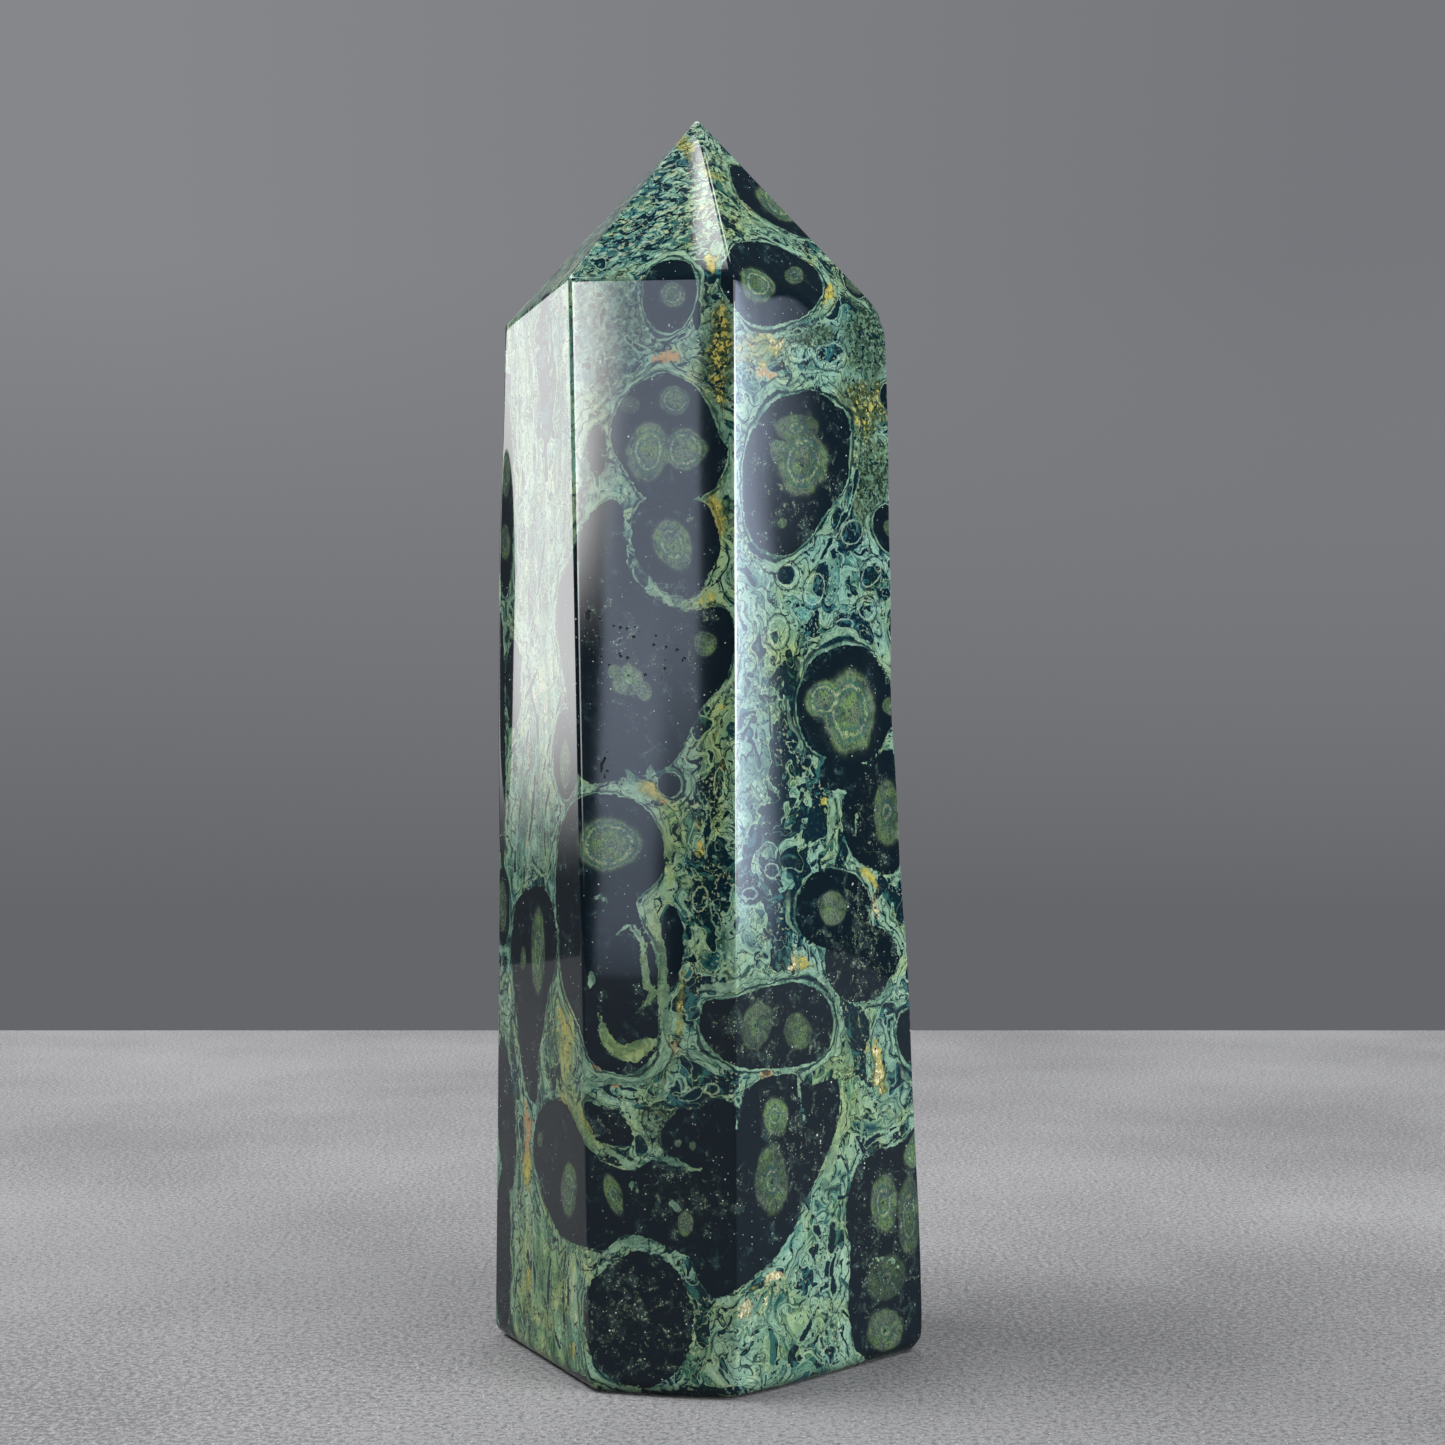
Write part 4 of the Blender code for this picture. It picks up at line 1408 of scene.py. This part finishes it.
def stone_material():
    """Polished kambaba jasper."""
    g = Graph("kambaba_jasper")
    where = g.node("ShaderNodeTexCoord").outputs["Object"]
    scaled = g.node("ShaderNodeVectorMath", operation="SCALE")
    g.feed(scaled.inputs[0], where)
    scaled.inputs["Scale"].default_value = 1.0 / MM
    at = scaled.outputs[0]
    fine = g.noise(at, 1.9, detail=3.0, rough=0.6)
    grain = g.noise(at, 4.5, detail=2.0, rough=0.6)
    broad = g.noise(at, 0.30, detail=1.5, rough=0.5)
    swirl = g.noise(at, 0.17, detail=1.5, rough=0.5, distort=1.3)

    loose = g.times(g.math("SUBTRACT", swirl, 0.5), g.above(g.field("flow"), -0.3, 3.5))
    flow = g.math("MULTIPLY_ADD", loose, 9.0, g.field("flow"))
    flow = g.stirred(flow, broad, 1.6)

    green, streak = green_ground(g, at, flow, fine)
    green = tinted(g, green, at, fine, grain, streak)
    spots = g.noise(at, 1.7, detail=2.0, rough=0.55, distort=0.6)
    spots = g.math("MULTIPLY_ADD", g.field("speckle"), 0.08, spots)
    green = g.mix(g.above(spots, 0.650, 0.670), green, INK)
    vein = g.stirred(g.field("vein"), broad, 1.6)
    vein = g.stirred(vein, fine, 0.6)
    green = drawn(g, green, vein, 0.17, 0.10, 0.6, LIGHT_GREEN)
    green = g.mix(g.above(vein, 0.05, -0.05), green, INK)
    seam = g.stirred(g.field("seam"), fine, 0.7)
    seam = g.stirred(seam, broad, 1.6)
    torn = g.noise(at, 0.75, detail=2.0, rough=0.6, distort=1.0)
    seam = g.stirred(seam, torn, 1.1)
    green = drawn(g, green, seam, 0.12, 0.09, 0.6, INK)
    line = g.mix(g.above(streak, 0.44, 0.54), GREEN, LIGHT_GREEN)
    line = shaded(g, line, g.field("olive"), OLIVE_SHIFT)
    line = shaded(g, line, g.above(torn, 0.46, 0.54), TORN_SHADE)
    green = g.mix(g.times(g.above(seam, 0.06, -0.06), 0.8), green, line)

    body = g.stirred(g.field("body"), fine, 0.22)
    ragged = g.math("MULTIPLY_ADD", g.field("rim"), -0.70, 1.20)
    body = g.stirred(body, torn, ragged)
    green = banded_skin(g, green, body, flow, at, fine)
    colour = g.mix(g.above(body, 0.03, -0.03), green, black_body(g, at, fine, grain))

    # The foot is darkened with painted shade
    colour = shaded(g, colour, g.field("foot"), FOOT_PAINTED_SHADE)
    # Painted highlights: pale lines along the edges stand in for the lamps' shine there
    edge_highlight = g.times(g.above(g.field("edge_highlight"), 0.08, -0.06), g.above(fine, 0.25, 0.42))
    colour = g.mix(g.times(edge_highlight, 0.75), colour, PAINTED_HIGHLIGHT)

    # Pits and slots are painted black, a painted shade in their hollows, as well as rougher and bumped in
    hole = g.node("ShaderNodeTexVoronoi", feature="F1")
    g.feed(hole.inputs["Vector"], at)
    g.feed(hole.inputs["Scale"], 0.9)
    pit = g.times(g.above(hole.outputs["Distance"], 0.20, 0.10), g.above(g.field("pits"), 0.2, 0.6))
    pit = g.math("MAXIMUM", pit, g.above(g.field("slot"), 0.05, -0.02))
    colour = g.mix(pit, colour, BLACK)

    height = g.math("SUBTRACT", g.times(grain, 0.00015), g.times(pit, 0.12))
    shine = g.math("MULTIPLY_ADD", fine, 0.035, 0.018)
    shader = g.surface(colour, g.math("MULTIPLY_ADD", pit, 0.5, shine), height, 1.0, MM)
    shader.inputs["IOR"].default_value = STONE_IOR
    shader.inputs["Specular IOR Level"].default_value = STONE_SPECULAR
    return g.material


def make_stone():
    """The stone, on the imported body's place."""
    mesh, points, shown = stone_mesh()
    for name, values in mark_fields(points, shown).items():
        mesh.attributes.new(name, "FLOAT", "POINT").data.foreach_set("value", values.astype(np.float32))
    mesh.materials.append(stone_material())
    stone = bpy.data.objects.new("stone", mesh)
    bpy.context.scene.collection.objects.link(stone)
    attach(stone, "root")
    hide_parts("obelisk")


# The studio

TABLE_BACK = 0.35
TABLE_FRONT = -0.75
TABLE_HALF = 0.9
# Painted light: the table's colour is darker at its front and paler at its far edge
TABLE_NEAR_SHADED = (0.172, 0.172, 0.176)
TABLE_FAR_LIT = (0.226, 0.226, 0.230)
WALL_LOW = (0.130, 0.133, 0.144)
WALL_LEFT = (0.240, 0.243, 0.258)
WALL_RIGHT = (0.182, 0.185, 0.200)
ROOM = (0.060, 0.062, 0.068)
GRIT_SHADE = (0.40, 0.40, 0.41)
SAND_SHADE = (0.72, 0.72, 0.72)
# The grey of the painted sparkle on the table
PAINTED_SPARKLE = (0.50, 0.50, 0.50)

# How far the studio's lights stand, the height that they point at as a share of the stone's, and hues
SOFTBOX_AWAY = 1.2
TOP_AWAY = 0.9
LAMP_AWAY = 1.3
AIM_SHARE = 0.45
WHITE = (1.0, 1.0, 1.0)
VIOLET = (0.68, 0.79, 1.0)


def table_material():
    """Pale plaster with faint clouds, fine grit and painted sparkle, with painted light that makes it
    darker near its front and paler towards its far edge.
    """
    g = Graph("pale_plaster")
    where = g.node("ShaderNodeTexCoord").outputs["Object"]
    across = g.node("ShaderNodeSeparateXYZ")
    g.feed(across.inputs[0], where)
    cloud = g.noise(where, 9.0, detail=5.0, rough=0.6)
    grit = g.noise(where, 1300.0, detail=3.0, rough=0.8)
    sand = g.noise(where, 3200.0, detail=1.0)
    level = g.math("ADD", g.times(cloud, 0.25), g.times(grit, 0.75))
    # Painted light: darker near the front, paler towards the far edge
    colour = g.mix(g.above(across.outputs["Y"], -0.12, 0.15), TABLE_NEAR_SHADED, TABLE_FAR_LIT)
    colour = shaded(g, colour, g.above(level, 0.56, 0.42), GRIT_SHADE)
    colour = shaded(g, colour, g.above(sand, 0.50, 0.40), SAND_SHADE)
    # Painted sparkle: pale specks where the fine sand noise is high
    colour = g.mix(g.above(sand, 0.70, 0.76), colour, PAINTED_SPARKLE)
    g.surface(colour, g.math("ADD", g.times(cloud, 0.2), 0.65), level, 0.6, 0.35 * MM)
    return g.material


def make_table():
    """The pale table top, whose far edge the photograph shows behind the stone."""
    mesh = bpy.data.meshes.new("table")
    corners = [(-TABLE_HALF, TABLE_FRONT, 0.0), (TABLE_HALF, TABLE_FRONT, 0.0),
               (TABLE_HALF, TABLE_BACK, 0.0), (-TABLE_HALF, TABLE_BACK, 0.0)]
    mesh.from_pydata(corners, [], [(0, 1, 2, 3)])
    mesh.materials.append(table_material())
    table = bpy.data.objects.new("table", mesh)
    bpy.context.scene.collection.objects.link(table)


def make_world():
    """A grey wall behind the stone, darker near the table and towards its right, in a dim room."""
    world = bpy.data.worlds.new("studio")
    bpy.context.scene.world = world
    world.use_nodes = True
    tree = world.node_tree
    where = tree.nodes.new("ShaderNodeTexCoord")
    split = tree.nodes.new("ShaderNodeSeparateXYZ")
    tree.links.new(where.outputs["Generated"], split.inputs[0])

    def rising(axis, low, high):
        share = tree.nodes.new("ShaderNodeMapRange")
        share.inputs["From Min"].default_value = low
        share.inputs["From Max"].default_value = high
        tree.links.new(split.outputs[axis], share.inputs["Value"])
        return share.outputs["Result"]

    def mixed(share, before, after):
        shade = tree.nodes.new("ShaderNodeMix")
        shade.data_type = "RGBA"
        tree.links.new(share, shade.inputs["Factor"])
        first, second = [socket for socket in shade.inputs if socket.type == "RGBA"]
        if isinstance(before, tuple):
            first.default_value = (*before, 1.0)
        else:
            tree.links.new(before, first)
        second.default_value = (*after, 1.0)
        return [socket for socket in shade.outputs if socket.type == "RGBA"][0]

    up = rising("Z", -0.06, 0.22)
    right = tree.nodes.new("ShaderNodeMath")
    right.operation = "MULTIPLY"
    tree.links.new(up, right.inputs[0])
    tree.links.new(rising("X", -0.25, 0.25), right.inputs[1])
    colour = mixed(right.outputs[0], mixed(up, WALL_LOW, WALL_LEFT), WALL_RIGHT)
    colour = mixed(rising("Y", 0.55, 0.20), colour, ROOM)
    colour = mixed(rising("Z", 0.40, 0.60), colour, ROOM)
    tree.links.new(colour, tree.nodes["Background"].inputs["Color"])


def fade_light(data, fades):
    """Dims a light towards its sides: for X or Y, the share where it is dark and where it is full."""
    data.use_nodes = True
    tree = data.node_tree
    place = tree.nodes.new("ShaderNodeNewGeometry")
    split = tree.nodes.new("ShaderNodeSeparateXYZ")
    tree.links.new(place.outputs["Parametric"], split.inputs[0])
    strength = None
    for axis, dark, full in fades:
        rise = tree.nodes.new("ShaderNodeMapRange")
        rise.interpolation_type = "SMOOTHSTEP"
        rise.inputs["From Min"].default_value = dark
        rise.inputs["From Max"].default_value = full
        tree.links.new(split.outputs[axis], rise.inputs["Value"])
        if strength is None:
            strength = rise.outputs["Result"]
            continue
        both = tree.nodes.new("ShaderNodeMath")
        both.operation = "MULTIPLY"
        tree.links.new(strength, both.inputs[0])
        tree.links.new(rise.outputs["Result"], both.inputs[1])
        strength = both.outputs[0]
    tree.links.new(strength, tree.nodes["Emission"].inputs["Strength"])


def add_light(name, centre, across, up, radiance, colour=WHITE, fades=()):
    """A rectangle of light that shines towards the stone. across and up are its full sides."""
    wide, tall = np.linalg.norm(across), np.linalg.norm(up)
    data = bpy.data.lights.new(name, "AREA")
    data.shape = "RECTANGLE"
    data.size, data.size_y = wide, tall
    data.energy = radiance * math.pi * wide * tall
    data.color = colour
    x, y = across / wide, up / tall
    away = np.cross(x, y)
    if away @ centre < 0.0:
        x, away = -x, -away
    light = bpy.data.objects.new(name, data)
    rows = [(x[i], y[i], away[i], centre[i]) for i in range(3)]
    light.matrix_world = Matrix(rows + [(0.0, 0.0, 0.0, 1.0)])
    light.visible_camera = False
    bpy.context.scene.collection.objects.link(light)
    if fades:
        fade_light(data, fades)


def softbox_seen_in(name, face, left, right, top, bottom, distance, radiance, colour=WHITE, fades=()):
    """A softbox whose reflection in a face fills a rectangle of the photograph's pixels."""
    middle = on_face((left + right) / 2.0, (top + bottom) / 2.0, face)
    out = mirrored(middle - CAMERA_AT, face)
    out /= np.linalg.norm(out)
    corners = {}
    for x in (left, right):
        for y in (top, bottom):
            start = on_face(x, y, face)
            ray = mirrored(start - CAMERA_AT, face)
            share = (distance - (start - middle) @ out) / (ray @ out)
            corners[x, y] = start + ray * share
    centre = sum(corners.values()) / 4.0
    upper_left, upper_right = corners[left, top], corners[right, top]
    lower_left, lower_right = corners[left, bottom], corners[right, bottom]
    across = (upper_right + lower_right - upper_left - lower_left) / 2.0
    up = (upper_left + upper_right - lower_left - lower_right) / 2.0
    up -= across * (up @ across) / (across @ across)
    add_light(name, centre, across, up, radiance, colour, fades)


def light_towards(name, direction, distance, wide, tall, radiance):
    """A softbox in a direction from the stone's middle, square to it."""
    middle = np.array([0.0, 0.0, AIM_SHARE * TIP[2]])
    out = np.array(direction) / np.linalg.norm(direction)
    across = np.cross((0.0, 0.0, 1.0), out)
    across /= np.linalg.norm(across)
    up = np.cross(out, across)
    add_light(name, middle + out * distance, across * wide, up * tall, radiance)


def heading(degrees, rise):
    """A direction by its turn from the front towards the right."""
    turn = math.radians(degrees)
    return math.sin(turn), -math.cos(turn), rise


# Softboxes by the face that mirrors them: (name, face, left, right, top, bottom, distance, radiance,
# hue, fades). Left to bottom are the pixels of the photograph that the reflection fills. A fade is the
# axis across or up the softbox, the share where it is dark and the share where it is full.
MIRRORED = (
    ("left_strip", SIDES[LEFT], 507, 660, 100, 885, SOFTBOX_AWAY, 5.7, WHITE, (("Y", 0.0, 0.30),)),
    ("edge_strip", SIDES[FRONT_LEFT], 490, 625, 100, 660, SOFTBOX_AWAY, 50.0, WHITE,
     (("X", 0.96, 0.40), ("Y", 0.0, 0.36))),
    ("edge_line", SIDES[FRONT_LEFT], 460, 560, 560, 900, SOFTBOX_AWAY, 20.0, WHITE, (("Y", 0.0, 0.5),)),
    ("haze_left", SIDES[FRONT_LEFT], 602, 699, 100, 900, SOFTBOX_AWAY, 8.0, VIOLET, (("Y", 0.0, 0.40),)),
    ("haze_low", SIDES[FRONT_LEFT], 600, 672, 560, 1040, SOFTBOX_AWAY, 5.0, VIOLET,
     (("X", 1.0, 0.70), ("Y", 0.0, 0.28), ("Y", 1.0, 0.50))),
    ("haze_right", SIDES[FRONT_RIGHT], 540, 784, 150, 1020, SOFTBOX_AWAY, 12.0, VIOLET,
     (("X", 1.0, 0.88), ("Y", 0.0, 0.25), ("Y", 1.0, 0.72))),
    ("haze_edge", SIDES[FRONT_RIGHT], 540, 752, 150, 1000, SOFTBOX_AWAY, 14.0, VIOLET,
     (("X", 1.0, 0.92), ("Y", 0.0, 0.25), ("Y", 1.0, 0.72))),
    ("haze_upper", SIDES[FRONT_RIGHT], 770, 830, 150, 590, SOFTBOX_AWAY, 4.3, VIOLET,
     (("X", 1.0, 0.0), ("Y", 0.0, 0.4), ("Y", 1.0, 0.60))),
    ("haze_top", SIDES[FRONT_LEFT], 583, 618, 100, 470, SOFTBOX_AWAY, 10.0, WHITE,
     (("X", 1.0, 0.25), ("Y", 0.0, 0.55))),
    ("top", POINTS[FRONT_LEFT], 690, 760, 142, 275, TOP_AWAY, 15.0, WHITE,
     (("X", 0.0, 0.12), ("Y", 0.0, 0.30))),
)

# The lights that the photograph doesn't show: (name, turn in degrees from the front towards the right,
# rise, distance, width, height, radiance)
LAMPS = (
    ("right_key", 56.0, 0.12, SOFTBOX_AWAY, 0.80, 0.60, 13.0),
    ("upper_left", -88.0, 1.45, LAMP_AWAY, 0.9, 0.6, 17.0),
    ("upper_right", 50.0, 1.05, LAMP_AWAY, 0.9, 0.6, 8.5),
    ("back", 180.0, 1.3, LAMP_AWAY, 0.9, 0.5, 4.0),
    ("right_rim", 134.0, 0.06, SOFTBOX_AWAY, 0.12, 0.25, 5.0),
)


def make_lights():
    """Softboxes where the stone's faces mirror them, and larger ones that light it."""
    for softbox in MIRRORED:
        softbox_seen_in(*softbox)
    for name, turn, rise, distance, wide, tall, radiance in LAMPS:
        light_towards(name, heading(turn, rise), distance, wide, tall, radiance)


def make_camera():
    """The photograph's camera."""
    data = bpy.data.cameras.new("camera")
    data.sensor_width = SENSOR
    data.lens = SENSOR * FOCAL_PIXELS / PHOTO_WIDE
    data.clip_start = 0.01
    camera = bpy.data.objects.new("camera", data)
    camera.location = Vector(CAMERA_AT)
    camera.rotation_euler = (math.pi / 2.0 + CAMERA_PITCH, 0.0, 0.0)
    bpy.context.scene.collection.objects.link(camera)
    bpy.context.scene.camera = camera


bpy.context.scene.view_settings.view_transform = "Standard"
make_camera()
make_table()
make_world()
make_lights()
make_stone()
